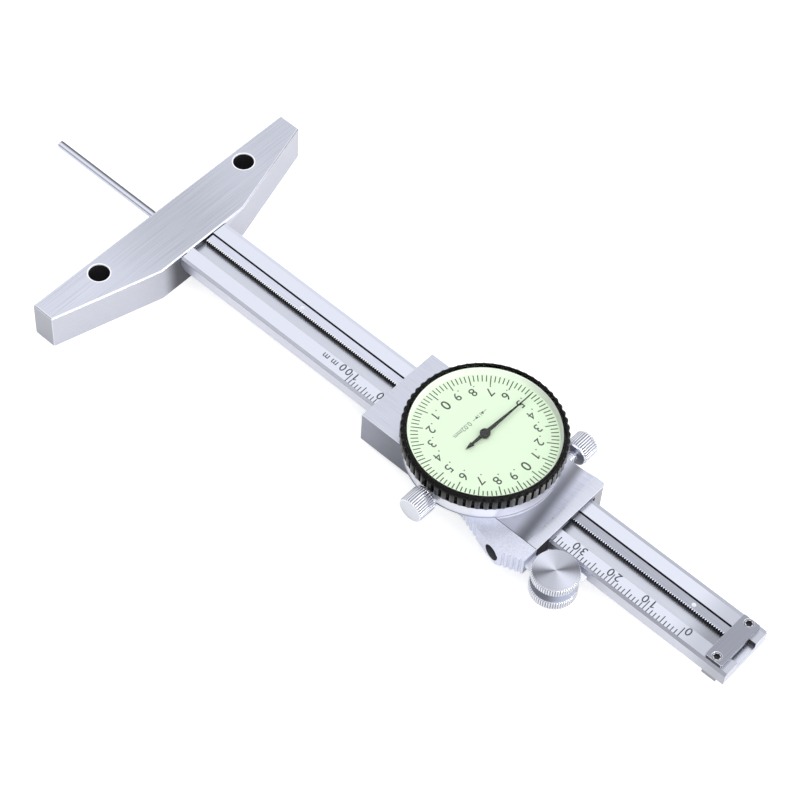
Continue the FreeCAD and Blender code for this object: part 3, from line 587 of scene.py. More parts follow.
# Beam: bright rails, with the bevels and the channel floor painted darker as shade, painted shade on the wall
# behind the rack and on the steps, and lighter copies of the steel on the sides and end as painted light
beamLook = {"endDepth": 1, "channelDepth": 1, "channelY": 4}


def paintBeam(face):
    centre = centreOf(face)
    if face.normal.x > 0.9:
        return "beamEnd" if centre.x > beamHigh.x - beamLook["endDepth"] else "shadow"
    if face.normal.z > 0.95:
        return "channel" if centre.z < beamHigh.z - beamLook["channelDepth"] else "rail"
    if face.normal.z > 0.3:
        return "railBevel"
    return "shadow" if face.normal.y < -0.5 and abs(centre.y) < beamLook["channelY"] else "railSide"


# the beam's rounded edges take the darker stop finish, as dark lines along them
dressNode(
    "beam", "beamBar", ["rail", "railSide", "channel", "shadow", "railBevel", "beamEnd"], 0.05,
    paint=paintBeam, edgeKey="stop",
)


# Rack: grey top, tooth flanks painted near black as shade
def paintRack(face):
    return "rack" if face.normal.z > 0.5 else "shadow"


dressNode("rack", "rackBar", ["rack", "shadow"], 0, paint=paintRack)


# Slider: brushed top; the scoop carries a painted reflection and the strip is painted lighter as painted
# light; the sides are painted darker as shade, and the end carries painted shade beside the roller and is
# darker on its +Y part
sliderLook = {"darkY": 7.8, "stripX": 128.5, "endDepth": 1, "topDepth": 0.02}


def paintSlider(face):
    look = Look(**sliderLook)
    centre = centreOf(face)
    if face.normal.x > 0.9 and centre.y < -look.darkY and centre.x > sliderHigh.x - look.endDepth:
        return "shadow"
    if face.normal.x > 0.9 and centre.y > look.darkY:
        return "baseEnd"
    if face.normal.z < 0.3:
        return "sliderSide"
    if face.normal.z < 0.9999 or centre.z < sliderHigh.z - look.topDepth:
        return "scoop"
    return "strip" if centre.x > look.stripX else "slider"


# Splits the slider's end face, so that the part beside the roller can carry painted shade
def splitSlider(bm):
    for side in (-1, 1):
        cutAlong(bm, (0, side * sliderLook["darkY"], 0), (0, 1, 0))


sliderKeys = ["slider", "sliderSide", "scoop", "shadow", "strip", "baseEnd"]
# the slider's rounded edges carry a painted highlight
dressNode(
    "slider_body", "sliderBlock", sliderKeys, 0.07,
    paint=paintSlider, edgeKey="edge", reshape=splitSlider, flat=0.02,
)


# Thumb rest: the foot of the wedge rises towards the dial, and the inside of the screw's bore is painted
# darker as shade
restLook = {"foot": (122, 0, 1.25), "footRise": 0.275, "boreX": 124.01, "boreZ": 3.9, "boreReach": 2.2}


def trimRest(bm):
    trimAlong(bm, restLook["foot"], Vector((-restLook["footRise"], 0, -1)).normalized(), 0)


def paintRest(face):
    centre = centreOf(face)
    reach = math.hypot(centre.x - restLook["boreX"], centre.z - restLook["boreZ"])
    return "boreDark" if reach < restLook["boreReach"] and abs(face.normal.y) < 0.3 else "blasted"


dressNode(
    "thumb_rest", "thumbRest", ["blasted", "boreDark"], 0.1, 40,
    paint=paintRest, reshape=trimRest,
)


# End stop: brushed top, front painted darker as shade
def paintStop(face):
    return "stopSide" if face.normal.y < -0.5 else "stop"


stopKeys = ["stop", "stopSide"]
# the end stop's rounded edges carry a painted highlight
dressNode("end_stop", "endStopPlate", stopKeys, 0.06, paint=paintStop, edgeKey="edge")
dressNode("back_stop", "backStopPlate", ["stop"], 0.06)
dressNode("dial_housing", "housingRing", ["polished"], 0.12)
dressNode("roller_bracket", "rollerBracket", ["bracket"], 0.06)
dressNode("back_stop_screws", "backStopScrews", ["plain"], 0.02)
dressNode("depth_rod", "depthRod", ["rod"], 0)

# Needle: the blade is slimmer than in the CAD, outside the hub
needleLook = {"angle": 88.2, "hub": 1.35, "slimness": 0.4, "tailSlimness": 0.8}


def slimNeedle(bm):
    look = Look(**needleLook)
    c, s = math.cos(math.radians(look.angle)), math.sin(math.radians(look.angle))
    along, across = Vector((c, s, 0)), Vector((-s, c, 0))
    for vert in bm.verts:
        place = vert.co - Vector((dialAxis.x * mm, 0, 0))
        if abs(place.dot(along)) > look.hub * mm:
            share = look.slimness if place.dot(along) > 0 else look.tailSlimness
            vert.co -= across * place.dot(across) * (1 - share)


dressNode("needle", "needleBlade", ["needle"], 0.03, reshape=slimNeedle)
dressNode("dial_plate", "dialPlate", ["dial"], 0)
dressNode("crystal", "crystalDisc", ["crystal"], 0.08)
dressNode("back_cover", "backCover", ["slider"], 0.05)
print("main pieces dressed")

# Nodes that keep their CAD mesh and get a finish
keptNodes = {
    "plain": [
        "base_screws", "housing_screws", "gib_screws", "rod_clamp", "rod_clamp_screws", "cover_screws",
        "thumb_rest_screw", "bracket_screw", "roller_axle", "bridge_screws", "hairspring", "spring_stud",
        "centre_pinion", "rack_pinion", "sprung_arbor",
    ],
    "slider": ["gib_strip"],
    "brass": ["rack_pinion_bush", "movement_bridge", "bridge_pillars", "drive_wheel", "sprung_wheel"],
}
for key, names in keptNodes.items():
    for name in names:
        mesh = nodes[name].data
        mesh.materials.clear()
        mesh.materials.append(materials[key])


# A turned profile round an upright axis: points are radius and height in millimetres
def spinShape(profile, x, y, steps):
    bm = bmesh.new()
    points = [bm.verts.new(((x + radius) * mm, y * mm, z * mm)) for radius, z in profile]
    edges = [bm.edges.new(pair) for pair in zip(points, points[1:] + points[:1])]
    bmesh.ops.spin(
        bm, geom=points + edges, cent=(x * mm, y * mm, 0), axis=(0, 0, 1),
        angle=2 * math.pi, steps=steps, use_merge=True,
    )
    bmesh.ops.remove_doubles(bm, verts=bm.verts, dist=weld)
    bmesh.ops.recalc_face_normals(bm, faces=bm.faces)
    return bm


# The profile of a plain ring
def band(inner, outer, low, high):
    return [(inner, low), (outer, low), (outer, high), (inner, high)]


# Goes from 0 to 1 and back a number of times round an axis
def waveAt(dx, dy, count):
    return 0.5 - 0.5 * math.cos(count * math.atan2(dy, dx))


# Cuts flutes into a turned shape: vertices between two radii and two heights move in by a wave
def fluteRim(bm, x, y, count, depth, least, low, high, power=1.0, most=math.inf):
    for vert in bm.verts:
        dx, dy = vert.co.x / mm - x, vert.co.y / mm - y
        radius = math.hypot(dx, dy)
        if least <= radius < most and low <= vert.co.z / mm <= high:
            factor = (radius - depth * waveAt(dx, dy, count) ** power) / radius
            vert.co.x = (x + dx * factor) * mm
            vert.co.y = (y + dy * factor) * mm


def joinInto(joined, bm):
    temporary = bpy.data.meshes.new("temporary")
    bm.to_mesh(temporary)
    bm.free()
    joined.from_mesh(temporary)
    bpy.data.meshes.remove(temporary)


# Painted highlights: thin light rings laid round the base's two holes
holeRimHighlightLook = {
    "inner": 2.64, "outer": 2.94, "lift": 0.012, "depth": 0.3, "taper": 0.1, "flat": 0.04, "drop": 0.06,
}


def makeHoleRims():
    look = Look(**holeRimHighlightLook)
    inner, outer = look.inner, look.outer
    top = boxMm("base")[1].z
    joined = bmesh.new()
    for side in (-1, 1):
        profile = [
            (inner, top - look.depth), (outer - look.taper, top - look.depth),
            (outer, top + look.lift / 2), (inner + look.flat, top + look.lift),
            (inner, top - look.drop),
        ]
        joinInto(joined, spinShape(profile, baseHoles["x"], side * baseHoles["y"], 64))
    finishPiece("holeRimHighlights", joined, "frame", ["rim"], 60)


makeHoleRims()


# Bezel: rounded lobes with narrow grooves, standing on a plain foot ring under a plain lip. The
# shoulder is given as steps in from the outer radius and down from the top
bezelLook = {
    "lobes": 60, "stepsPerLobe": 12, "depth": 0.5, "outer": 19.6, "foot": 19.3, "footHeight": 0.3,
    "height": 4.05, "lip": 18.95, "lipDrop": 0.25, "lipEdge": 0.12, "window": 17.95, "wall": 0.6,
    "seat": 18.42, "edge": 0.1,
    "shoulder": [(0, 1.3), (0, 1.1), (0.05, 0.85), (0.2, 0.6), (0.42, 0.4)], "grooveSharpness": 1.6,
    "archDrop": 0.6, "archDepth": 0.7, "lobeShare": 0.72,
}


def makeBezel():
    look = Look(**bezelLook)
    high = bezelHigh.z
    rimLow = high - look.height
    lobeLow = rimLow + look.footHeight
    window, foot, outer, lip, seat = look.window, look.foot, look.outer, look.lip, look.seat
    edge, lipEdge = look.edge, look.lipEdge
    profile = [
        (window - look.wall, bezelLow.z), (window, bezelLow.z), (window, rimLow), (foot - edge, rimLow),
        (foot, rimLow + edge), (foot, lobeLow), (outer - edge / 2, lobeLow), (outer, lobeLow + edge),
    ]
    profile += [(outer - inset, high - drop) for inset, drop in look.shoulder]
    profile += [
        (lip, high - look.lipDrop), (lip, high - lipEdge), (lip - lipEdge, high), (seat + edge, high),
        (seat, high - edge), (seat, crystalLow.z), (window, crystalLow.z), (window, plateLow.z),
        (window - look.wall, plateLow.z),
    ]
    bm = spinShape(profile, dialAxis.x, 0, look.lobes * look.stepsPerLobe)
    fluteRim(
        bm, dialAxis.x, 0, look.lobes, look.depth, outer - 0.5, lobeLow - 0.05, high - 0.35,
        look.grooveSharpness,
    )
    # the lobes take the lobe finish and the grooves between them are painted near black as shade
    for face in bm.faces:
        centre = centreOf(face)
        dx, dy = centre.x - dialAxis.x, centre.y
        wave = waveAt(dx, dy, look.lobes)
        archHigh = high - look.archDrop - look.archDepth * wave
        if lobeLow < centre.z < archHigh and math.hypot(dx, dy) > outer - 1:
            face.material_index = 1 if wave < look.lobeShare else 2
    keys = ["bezel", "bezelLobe", "bezelGroove"]
    finishPiece("bezelRing", bm, "bezel", keys, 50, ["bezel"])


makeBezel()


# Pale wall between the dial and the crystal: it gets a painted glow, and painted shade on one side
ringSteps = 180
dialWallLook = {"inner": 17.4, "outer": 17.94, "topWidth": 0.08, "gap": 0.02}


def makeDialWall():
    look = Look(**dialWallLook)
    outer, high = look.outer, crystalLow.z - look.gap
    profile = [
        (look.inner, plateHigh.z), (outer, plateHigh.z), (outer, high), (outer - look.topWidth, high),
    ]
    bm = spinShape(profile, dialAxis.x, 0, ringSteps)
    finishPiece("dialWall", bm, "bezel", ["wall"], 40)


makeDialWall()


# Foot of the housing ring in the scoop, and the narrow flange where the housing stands on the slider
footLook = {"radius": 18.79, "wall": 0.5, "low": 5.5, "high": 6.75, "startX": 116.96, "edgeY": 12.25}
flangeLook = {"inner": 18.7, "outer": 18.93, "height": 0.06}


def makeHousingRings():
    body = nodes["dial_housing"]["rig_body"]
    look = Look(**footLook)
    profile = band(look.radius - look.wall, look.radius, look.low, look.high)
    foot = spinShape(profile, dialAxis.x, 0, ringSteps)
    trimAlong(foot, (look.startX, 0, 0), (-1, 0, 0), 8)
    for side in (1, -1):
        trimAlong(foot, (0, side * look.edgeY, 0), (0, side, 0), 8)
    finishPiece("housingFoot", foot, body, ["polished"], 40, recalc=True)
    look = Look(**flangeLook)
    profile = band(look.inner, look.outer, sliderHigh.z, sliderHigh.z + look.height)
    flange = spinShape(profile, dialAxis.x, 0, ringSteps)
    finishPiece("housingFlange", flange, body, ["stop"], 40)


makeHousingRings()


# Thumb roller: knurled rims whose valleys are painted darker as shade, a turned top with painted reflection
# fans, a step painted with light and shade, and a spacer between the discs
rollerLook = {
    "ribs": 60, "stepsPerRib": 8, "ribDepth": 0.3, "ribSharpness": 1.5, "edge": 0.3, "bore": 1.2,
    "lowerHeight": 2.9, "spacer": 2.4, "capDepth": 0.3, "brightAngle": 172, "darkAngle": 52,
}
rollerPlace = (rollerAxis.x, rollerAxis.y, 0)
# painted reflection fans on the upper roller's top
addFan(materials["rollerTop"], rollerPlace, rollerLook["brightAngle"], rollerLook["darkAngle"])


def makeRoller(node, name, discHigh, top, topKey):
    look = Look(**rollerLook)
    low, high = boxMm(node)
    radius = (high.x - low.x) / 2
    bore, edge, spacer = look.bore, look.edge, look.spacer
    profile = [
        (bore, low.z), (radius - edge, low.z), (radius, low.z + edge), (radius, discHigh - edge),
        (radius - edge, discHigh),
    ]
    profile += [(bore, discHigh)] if top else [(spacer, discHigh), (spacer, high.z), (bore, high.z)]
    bm = spinShape(profile, rollerAxis.x, rollerAxis.y, look.ribs * look.stepsPerRib)
    fluteRim(
        bm, rollerAxis.x, rollerAxis.y, look.ribs, look.ribDepth, radius - 0.05, low.z, high.z,
        look.ribSharpness,
    )
    # the top faces take the top finish, and the knurl valleys between the rims' ribs are painted darker as
    # shade
    for face in bm.faces:
        centre = centreOf(face)
        reach = math.hypot(centre.x - rollerAxis.x, centre.y - rollerAxis.y)
        if face.normal.z > 0.9:
            face.material_index = 1
        elif low.z + edge < centre.z < discHigh - edge and reach > spacer + 1:
            face.material_index = 2 if reach < radius - 0.5 * look.ribDepth else 0
    finishPiece(name, bm, "thumb_roller", ["rollerRim", topKey, "rollerGroove"], 30, [node])


# The upper roller's top is closed over the axle
def makeRollerCap(high):
    profile = band(core, rollerLook["bore"], high - rollerLook["capDepth"], high)
    bm = spinShape(profile, rollerAxis.x, rollerAxis.y, 48)
    finishPiece("rollerCap", bm, "thumb_roller", ["rollerTop"], 30)


rollerHigh = boxMm("upper_roller")[1].z
stepHigh = boxMm("lower_roller")[0].z + rollerLook["lowerHeight"]
makeRoller("upper_roller", "upperRollerDisc", rollerHigh, True, "rollerTop")
makeRoller("lower_roller", "lowerRollerDisc", stepHigh, False, "rollerStep")
makeRollerCap(rollerHigh)


# Lock screws: knurled knob, plain collar and threaded stem, turned upright and then laid along Y. A
# thread is given as steps in from the stem's radius and on from the start of its turn
lockLook = {
    "ribs": 32, "stepsPerRib": 8, "ribDepth": 0.26, "ribSharpness": 1.3, "collarStep": 0.18,
    "collarLength": 0.6, "pitch": 0.5, "thread": [(0.28, 0.1), (0, 0.3), (0, 0.45)], "tipBevel": 0.2,
}


def makeLock(node, name, body, side, stem, collarAt, stemVisible):
    look = Look(**lockLook)
    low, high = boxMm(node)
    axis = (low + high) / 2
    tip, end = (low.y, high.y) if side > 0 else (high.y, low.y)
    length = abs(end - tip)
    collarStart = abs(collarAt - tip)
    threadStart = collarStart - stemVisible
    knurlStart = collarStart + look.collarLength
    radius = (high.x - low.x) / 2
    collar = radius - look.collarStep
    profile = [(core, 0), (stem - look.tipBevel, 0), (stem, look.tipBevel), (stem, threadStart)]
    for turn in range(int(stemVisible / look.pitch)):
        start = threadStart + turn * look.pitch
        profile += [(stem - inset, start + step) for inset, step in look.thread]
    profile += [
        (stem - 0.1, collarStart), (collar - 0.15, collarStart), (collar, collarStart + 0.15),
        (collar, knurlStart - 0.12), (collar - 0.12, knurlStart), (radius - 0.1, knurlStart + 0.02),
        (radius, knurlStart + 0.14), (radius, length - 0.35), (radius - 0.12, length - 0.12),
        (radius - 0.35, length), (core, length),
    ]
    bm = spinShape(profile, 0, 0, look.ribs * look.stepsPerRib)
    fluteRim(
        bm, 0, 0, look.ribs, look.ribDepth, radius - 0.05, knurlStart, length - 0.2, look.ribSharpness,
    )
    # the end face takes its own finish; the face towards the slider and the knurl valleys are painted darker
    # as shade
    for face in bm.faces:
        centre = centreOf(face)
        valley = math.hypot(centre.x, centre.y) < radius - 0.45 * look.ribDepth
        if face.normal.z > 0.9 and centre.z > length - 0.1:
            face.material_index = 1
        elif face.normal.z < -0.9 and abs(centre.z - collarStart) < 0.1:
            face.material_index = 2
        elif knurlStart + 0.1 < centre.z < length - 0.3 and valley:
            face.material_index = 2
    turn = Matrix.Rotation(math.radians(-90 * side), 4, "X")
    lay = Matrix.Translation((axis.x * mm, tip * mm, axis.z * mm)) @ turn
    bmesh.ops.transform(bm, matrix=lay, verts=bm.verts)
    finishPiece(name, bm, body, ["knob", "knobEnd", "knobBack"], 40, [node], True)


makeLock("bezel_lock_screw", "bezelLockKnob", "bezel_lock", -1, 1.05, -19.8, 1.0)
makeLock("slide_lock_screw", "slideLockKnob", "slide_lock", 1, 1.25, 15.5, 4.5)


# Stop screws: flat heads with lobed sockets, the sockets painted near black as shade
stopScrewLook = {
    "x": 178.28, "y": 5.8, "head": 1.1, "headHeight": 0.7, "rim": 0.95, "ring": 0.86, "socket": 0.76,
    "lobes": 6, "lobe": 0.2, "depth": 0.5, "stem": 0.7,
}


def makeStopScrews():
    look = Look(**stopScrewLook)
    low, high = boxMm("end_stop_screws")
    top = high.z
    head, socket, floor = look.head, look.socket, top - look.depth
    joined = bmesh.new()
    for side in (-1, 1):
        x, y = look.x, side * look.y
        profile = [
            (core, floor), (socket, floor), (socket, top - 0.02), (look.ring, top), (look.rim, top),
            (head - 0.04, top - 0.05), (head, top - 0.1), (head, top - look.headHeight),
            (look.stem, low.z), (core, low.z),
        ]
        bm = spinShape(profile, x, y, 72)
        fluteRim(bm, x, y, look.lobes, look.lobe, socket - 0.16, floor - 0.01, top, most=socket + 0.04)
        for face in bm.faces:
            centre = centreOf(face)
            reach = math.hypot(centre.x - x, centre.y - y)
            dark = reach < socket + 0.01 and centre.z > low.z + 0.1
            face.material_index = 1 if dark else 2 if reach > look.rim else 0
        joinInto(joined, bm)
    keys = ["screwRing", "shadow", "stop"]
    finishPiece("endStopScrews", joined, "frame", keys, 40, ["end_stop_screws"])


makeStopScrews()


# Rack pins: riveted heads with a dimple, which is given as radius and drop from the top
pinLook = {
    "x": (46, 106, 166), "radius": 0.66, "edge": 0.05,
    "dimple": [(core, 0.06), (0.18, 0.05), (0.28, 0), (0.5, 0)],
}


def makeRackPins():
    look = Look(**pinLook)
    low, high = boxMm("rack_pins")
    radius = look.radius
    profile = [(reach, high.z - drop) for reach, drop in look.dimple]
    profile += [(radius, high.z - look.edge), (radius, low.z), (core, low.z)]
    joined = bmesh.new()
    for x in look.x:
        joinInto(joined, spinShape(profile, x, (low.y + high.y) / 2, 32))
    finishPiece("rackPins", joined, "frame", ["plainBright"], 60, ["rack_pins"])


makeRackPins()


# Needle hub: a domed cap, given as radius and rise above the needle
hubCapLook = [(core, -0.1), (1.2, -0.1), (1.2, 0.05), (0.95, 0.15), (0.5, 0.21), (core, 0.23)]
needleTop = boxMm("needle")[1].z
hubCap = spinShape([(radius, needleTop + rise) for radius, rise in hubCapLook], dialAxis.x, 0, 48)
finishPiece("needleHubCap", hubCap, "needle", ["needle"], 50)
print("round pieces made")


# Printing: ticks are thin slabs, numbers are text turned into a mesh, all a hair above the surface
inkThickness = 0.012


def addSlab(bm, x0, y0, x1, y1, width, z):
    start, end = Vector((x0, y0, z)), Vector((x1, y1, z))
    across = Vector((y0 - y1, x1 - x0, 0)).normalized() * (width / 2)
    corners = [start - across, end - across, end + across, start + across]
    face = bm.faces.new([bm.verts.new(corner * mm) for corner in corners])
    raised = bmesh.ops.extrude_face_region(bm, geom=[face])
    moved = [item for item in raised["geom"] if isinstance(item, bmesh.types.BMVert)]
    bmesh.ops.translate(bm, vec=(0, 0, inkThickness * mm), verts=moved)


# A face to print on is its height, the numerals' upward direction and their reading direction
def addText(bm, face, text, size, x, y, weight=0.0):
    z, up, reading = face
    curve = bpy.data.curves.new("lettering", "FONT")
    curve.body = text
    curve.size = size * mm
    curve.align_x = "CENTER"
    curve.align_y = "CENTER"
    curve.extrude = inkThickness * mm / 2
    curve.offset = weight * mm
    curve.resolution_u = 4
    holder = linkObject("lettering", curve)
    bpy.context.view_layer.update()
    mesh = bpy.data.meshes.new_from_object(holder.evaluated_get(bpy.context.evaluated_depsgraph_get()))
    right, top = Vector(reading), Vector(up)
    lowX, highX = min(v.co.x for v in mesh.vertices), max(v.co.x for v in mesh.vertices)
    lowY, highY = min(v.co.y for v in mesh.vertices), max(v.co.y for v in mesh.vertices)
    mesh.transform(Matrix.Translation((-(lowX + highX) / 2, -(lowY + highY) / 2, 0)))
    turn = Matrix((right, top, right.cross(top))).transposed().to_4x4()
    mesh.transform(Matrix.Translation(Vector((x, y, z + inkThickness / 2)) * mm) @ turn)
    bm.from_mesh(mesh)
    bpy.data.objects.remove(holder)
    bpy.data.curves.remove(curve)
    bpy.data.meshes.remove(mesh)


# The flag of a numeral 1, which the lettering lacks
flagLook = {"rise": 0.3, "drop": 0.38, "reach": 0.66, "width": 0.24}


# One numeral of a scale: the 4 closes up when it is made heavier, so it stays as it is
def addDigit(bm, face, digit, size, x, y, weight):
    addText(bm, face, digit, size, x, y, 0 if digit == "4" else weight)
    z, up, reading = face
    if digit == "1":
        top = Vector((x, y)) + Vector(up[:2]) * size * flagLook["rise"]
        tip = top - Vector(up[:2]) * flagLook["drop"] - Vector(reading[:2]) * flagLook["reach"]
        addSlab(bm, top.x, top.y, tip.x, tip.y, flagLook["width"], z)


# Beam scale, with a line painted along the far rail as shade where its bevel is, and at the beam's root a
# dark joint line on the +Y side and painted shade in the corner on the -Y side
beamScale = {
    "zeroX": 168.35, "range": 100, "outerY": -7.1, "shortY": -5.75, "middleY": -5.0, "longY": -4.3,
    "tickWidth": 0.24, "digitY": -4.55, "digitSize": 3.05, "digitShift": 1.05, "oneShift": 0.2,
    "thirdShift": 1.9, "weight": 0.02, "unitX": 61.5, "unitY": -4.75, "unitSize": 2.5, "unitGap": 1.35,
    "farX": 14.8, "farGap": 0.2, "farY": 7.19, "farWidth": 0.86,
    "seamX": 14.62, "seamWidth": 0.22, "seams": [(3.4, 7.3), (-7.3, -5.6)],
}


def makeBeamScale():
    look = Look(**beamScale)
    top = beamHigh.z
    ticks = bmesh.new()
    for n in range(look.range + 1):
        x = look.zeroX - n
        inner = look.longY if n % 10 == 0 else look.middleY if n % 5 == 0 else look.shortY
        addSlab(ticks, x, look.outerY, x, inner, look.tickWidth, top)
    finishPiece("beamTicks", ticks, "frame", ["ink"], 30, recalc=True)
    farEdge = bmesh.new()
    addSlab(farEdge, look.farX, look.farY, beamHigh.x - look.farGap, look.farY, look.farWidth, top)
    finishPiece("railFarEdgeShade", farEdge, "frame", ["railBevel"], 30, recalc=True)
    seams = bmesh.new()
    for y0, y1 in look.seams:
        addSlab(seams, look.seamX, y0, look.seamX, y1, look.seamWidth, top)
    finishPiece("rootSeamsAndShade", seams, "frame", ["shadow"], 30, recalc=True)
    numbers = bmesh.new()
    face = (top, (0, -1, 0), (-1, 0, 0))
    shift = look.digitShift
    places = {1: [shift + look.oneShift], 2: [shift, -shift], 3: [shift, -shift, -shift - look.thirdShift]}
    for n in range(0, look.range + 1, 10):
        for digit, place in zip(str(n), places[len(str(n))]):
            x = look.zeroX - n + place
            addDigit(numbers, face, digit, look.digitSize, x, look.digitY, look.weight)
    for side in (-1, 1):
        x = look.unitX + side * look.unitGap
        addText(numbers, face, "m", look.unitSize, x, look.unitY, look.weight)
    finishPiece("beamNumbers", numbers, "frame", ["ink"], 30)


makeBeamScale()


# Dark joint between the slider and the thumb rest
restSeamLook = {"startX": 118.2, "endX": 131.7, "y": -12.3, "width": 0.14}


def makeRestSeam():
    look = Look(**restSeamLook)
    bm = bmesh.new()
    addSlab(bm, look.startX, look.y, look.endX, look.y, look.width, sliderHigh.z)
    finishPiece("restSeam", bm, nodes["slider_body"]["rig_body"], ["shadow"], 30, recalc=True)


makeRestSeam()


# Dial scale: 100 divisions, a numeral at every fifth with a decimal dot, and the note of the division
dialScale = {
    "divisions": 100, "outer": 17.1, "shortInner": 15.3, "longInner": 14.25, "tickWidth": 0.25,
    "numerals": 20, "weight": 0.012, "digitRadius": 12.47, "digitSize": 3.25, "shiftX": 0.16, "shiftY": -0.1,
    "zeroRadius": 12.2, "zeroSize": 3.75, "zeroShift": 0.2, "zeroWeight": 0.025,
    "dotRadius": 0.17, "dotX": -1.0, "dotY": 1.4,
}
dialNote = {
    "x": -4.6, "textY": -2.45, "size": 1.75, "arrowsY": 3.45, "lineWidth": 0.12, "barY": 0.35, "barHalf": 0.5,
    "stemStart": 0.25, "stemEnd": 1.9, "headAt": 0.62, "headRadius": 0.5,
}


dialFace = (plateHigh.z, (1, 0, 0), (0, -1, 0))


# A flat disc or, with three segments, an arrowhead
def addDisc(bm, segments, radius, x, y, z, turn=0):
    place = Matrix.Translation(Vector((x, y, z + inkThickness)) * mm)
    lay = place @ Matrix.Rotation(math.radians(turn), 4, "Z")
    bmesh.ops.create_circle(bm, cap_ends=True, segments=segments, radius=radius * mm, matrix=lay)


def makeDialPrint():
    look = Look(**dialScale)
    top = plateHigh.z
    ticks = bmesh.new()
    for n in range(look.divisions):
        angle = 2 * math.pi * n / look.divisions
        c, s = math.cos(angle), math.sin(angle)
        inner, outer = look.longInner if n % 5 == 0 else look.shortInner, look.outer
        addSlab(
            ticks, dialAxis.x + inner * c, inner * s, dialAxis.x + outer * c, outer * s, look.tickWidth, top,
        )
    finishPiece("dialTicks", ticks, "bezel", ["dialInk"], 30, recalc=True)
    numbers = bmesh.new()
    for n in range(look.numerals):
        angle = 2 * math.pi * n / look.numerals
        digit = n % 10
        radius = look.digitRadius if digit else look.zeroRadius
        x = dialAxis.x + radius * math.cos(angle) + look.shiftX
        y = radius * math.sin(angle) + look.shiftY
        if digit == 0:
            y += look.zeroShift
            addText(numbers, dialFace, "0", look.zeroSize, x, y, look.zeroWeight)
        else:
            addDigit(numbers, dialFace, str(digit), look.digitSize, x, y, look.weight)
            addDisc(numbers, 16, look.dotRadius, x + look.dotX, y + look.dotY, top)
    finishPiece("dialNumbers", numbers, "bezel", ["dialInk"], 30)


def makeDialNote():
    look = Look(**dialNote)
    top = plateHigh.z
    x, width, half = dialAxis.x + look.x, look.lineWidth, look.barHalf
    note = bmesh.new()
    addText(note, dialFace, "0.02mm", look.size, x, look.textY)
    for side in (1, -1):
        base = look.arrowsY + side * look.barY
        addSlab(note, x - half, base, x + half, base, width, top)
        addSlab(note, x, base + side * look.stemStart, x, base + side * look.stemEnd, width, top)
        addDisc(note, 3, look.headRadius, x, base + side * look.headAt, top, -90 * side)
    finishPiece("dialNote", note, "bezel", ["noteInk"], 30)


makeDialPrint()
makeDialNote()
print("printing made")


# Camera at the photograph's viewing angle
cameraLook = {
    "eye": (295.466, -272.883, 481.287), "aim": (81.378, -2.161, 5.05), "roll": 4.701, "lens": 113.12,
    "sensor": 36.0,
}


def makeCamera():
    look = Look(**cameraLook)
    camera = bpy.data.cameras.new("studioCamera")
    camera.lens = look.lens
    camera.sensor_width = look.sensor
    camera.clip_start = 0.01
    camera.clip_end = 20
    holder = linkObject("studioCamera", camera)
    eye, aim = Vector(look.eye) * mm, Vector(look.aim) * mm
    back = (eye - aim).normalized()
    side = Vector((0, 0, 1)).cross(back).normalized()
    rise = back.cross(side)
    roll = math.radians(look.roll)
    right = side * math.cos(roll) + rise * math.sin(roll)
    up = rise * math.cos(roll) - side * math.sin(roll)
    holder.matrix_world = Matrix.Translation(eye) @ Matrix((right, up, back)).transposed().to_4x4()
    bpy.context.scene.camera = holder


makeCamera()


# Studio: pale floor, soft lamps and a plain world, in metres but for the floor's height
studio = {
    "floorZ": -5.45, "floorSize": 6.0, "floorTone": 0.72, "floorLift": 0.6, "floorMirrorLift": 0.25,
    "world": 1.04,
    "sky": [(0.0, 0.12), (0.25, 0.35), (0.5, 0.8), (0.75, 1.1)], "skyTint": (0.98, 0.99, 1.0),
    "lamps": [
        {"name": "keyLamp", "at": (0.9, -0.55, 1.1), "aim": (0.08, 0, 0), "size": 1.2, "power": 5.0},
        {"name": "rimLamp", "at": (1.2, 0.64, 0.5), "aim": (0.08, 0, 0), "size": 0.7, "power": 3.0},
        {"name": "sparkLamp", "at": (1.14, 0.07, 0.37), "aim": (0.1, 0, 0), "size": 0.25, "power": 3.0},
    ],
}


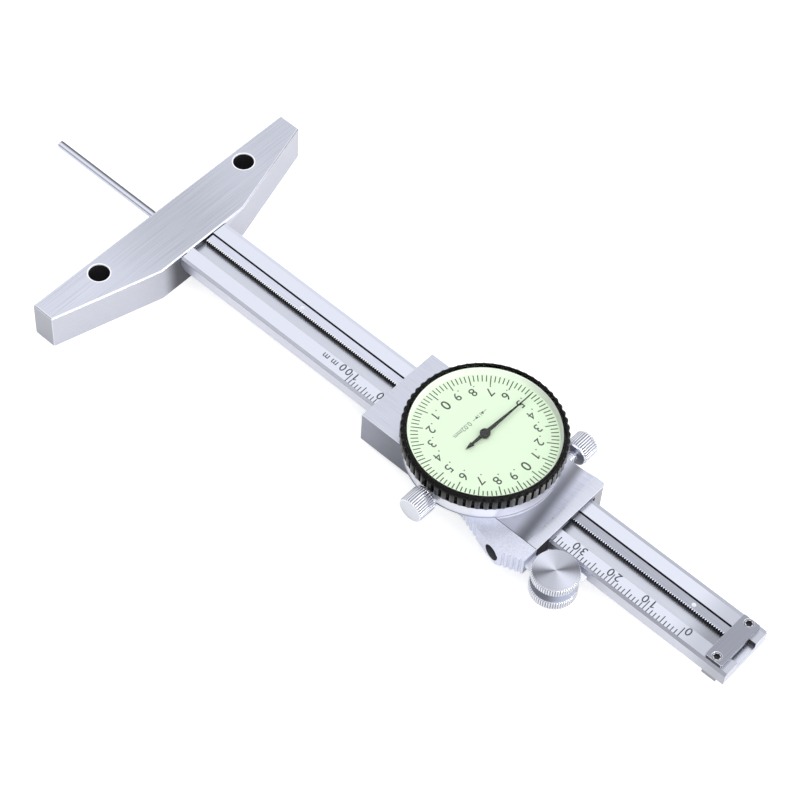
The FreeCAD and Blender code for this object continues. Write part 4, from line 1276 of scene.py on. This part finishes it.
def makeFloor():
    bm = bmesh.new()
    bmesh.ops.create_grid(bm, x_segments=1, y_segments=1, size=studio["floorSize"] / 2)
    bmesh.ops.translate(bm, vec=(0, 0, studio["floorZ"] * mm), verts=bm.verts)
    mesh = bpy.data.meshes.new("studioFloor")
    bm.to_mesh(mesh)
    bm.free()
    floor = linkObject("studioFloor", mesh)
    tone = studio["floorTone"]
    material = newMaterial("floorPaper", {
        "Base Color": (tone, tone, tone, 1), "Roughness": 0.9, "Specular IOR Level": 0.0,
        "Emission Color": (1, 1, 1, 1),
    })
    tree = material.node_tree
    path = tree.nodes.new("ShaderNodeLightPath")
    seen = mathNode(tree, "MAXIMUM", path.outputs["Is Camera Ray"], path.outputs["Is Transmission Ray"])
    lift = mathNode(tree, "MULTIPLY", seen, studio["floorLift"])
    mirrored = mathNode(tree, "MULTIPLY", path.outputs["Is Glossy Ray"], studio["floorMirrorLift"])
    tree.links.new(mathNode(tree, "MAXIMUM", lift, mirrored), shaderOf(material).inputs["Emission Strength"])
    mesh.materials.append(material)


# The sky is brighter overhead, and plain white where the camera sees it
def makeWorld():
    world = bpy.data.worlds.new("studioWorld")
    bpy.context.scene.world = world
    world.use_nodes = True
    tree = world.node_tree
    background = tree.nodes["Background"]
    direction = tree.nodes.new("ShaderNodeTexCoord").outputs["Generated"]
    height = addNode(tree, "ShaderNodeSeparateXYZ", None, Vector=direction).outputs["Z"]
    ramp = addNode(tree, "ShaderNodeValToRGB", None, Fac=height)
    stops = ramp.color_ramp.elements
    while len(stops) < len(studio["sky"]):
        stops.new(1.0)
    for stop, (position, value) in zip(stops, studio["sky"]):
        stop.position = position
        stop.color = (*(value * tint for tint in studio["skyTint"]), 1)
    path = tree.nodes.new("ShaderNodeLightPath")
    mix = addNode(tree, "ShaderNodeMix", {"data_type": "RGBA"}, Factor=path.outputs["Is Camera Ray"])
    tree.links.new(ramp.outputs[0], mix.inputs[6])
    mix.inputs[7].default_value = (1, 1, 1, 1)
    tree.links.new(mix.outputs[2], background.inputs[0])
    background.inputs[1].default_value = studio["world"]


def makeLamps():
    for look in studio["lamps"]:
        lamp = bpy.data.lights.new(look["name"], "AREA")
        lamp.shape = "SQUARE"
        lamp.size = look["size"]
        lamp.energy = look["power"]
        at = Vector(look["at"])
        turn = (at - Vector(look["aim"])).to_track_quat("Z", "Y").to_matrix().to_4x4()
        linkObject(look["name"], lamp).matrix_world = Matrix.Translation(at) @ turn


makeFloor()
makeWorld()
makeLamps()
bpy.context.scene.view_settings.view_transform = "Standard"
print("studio made")
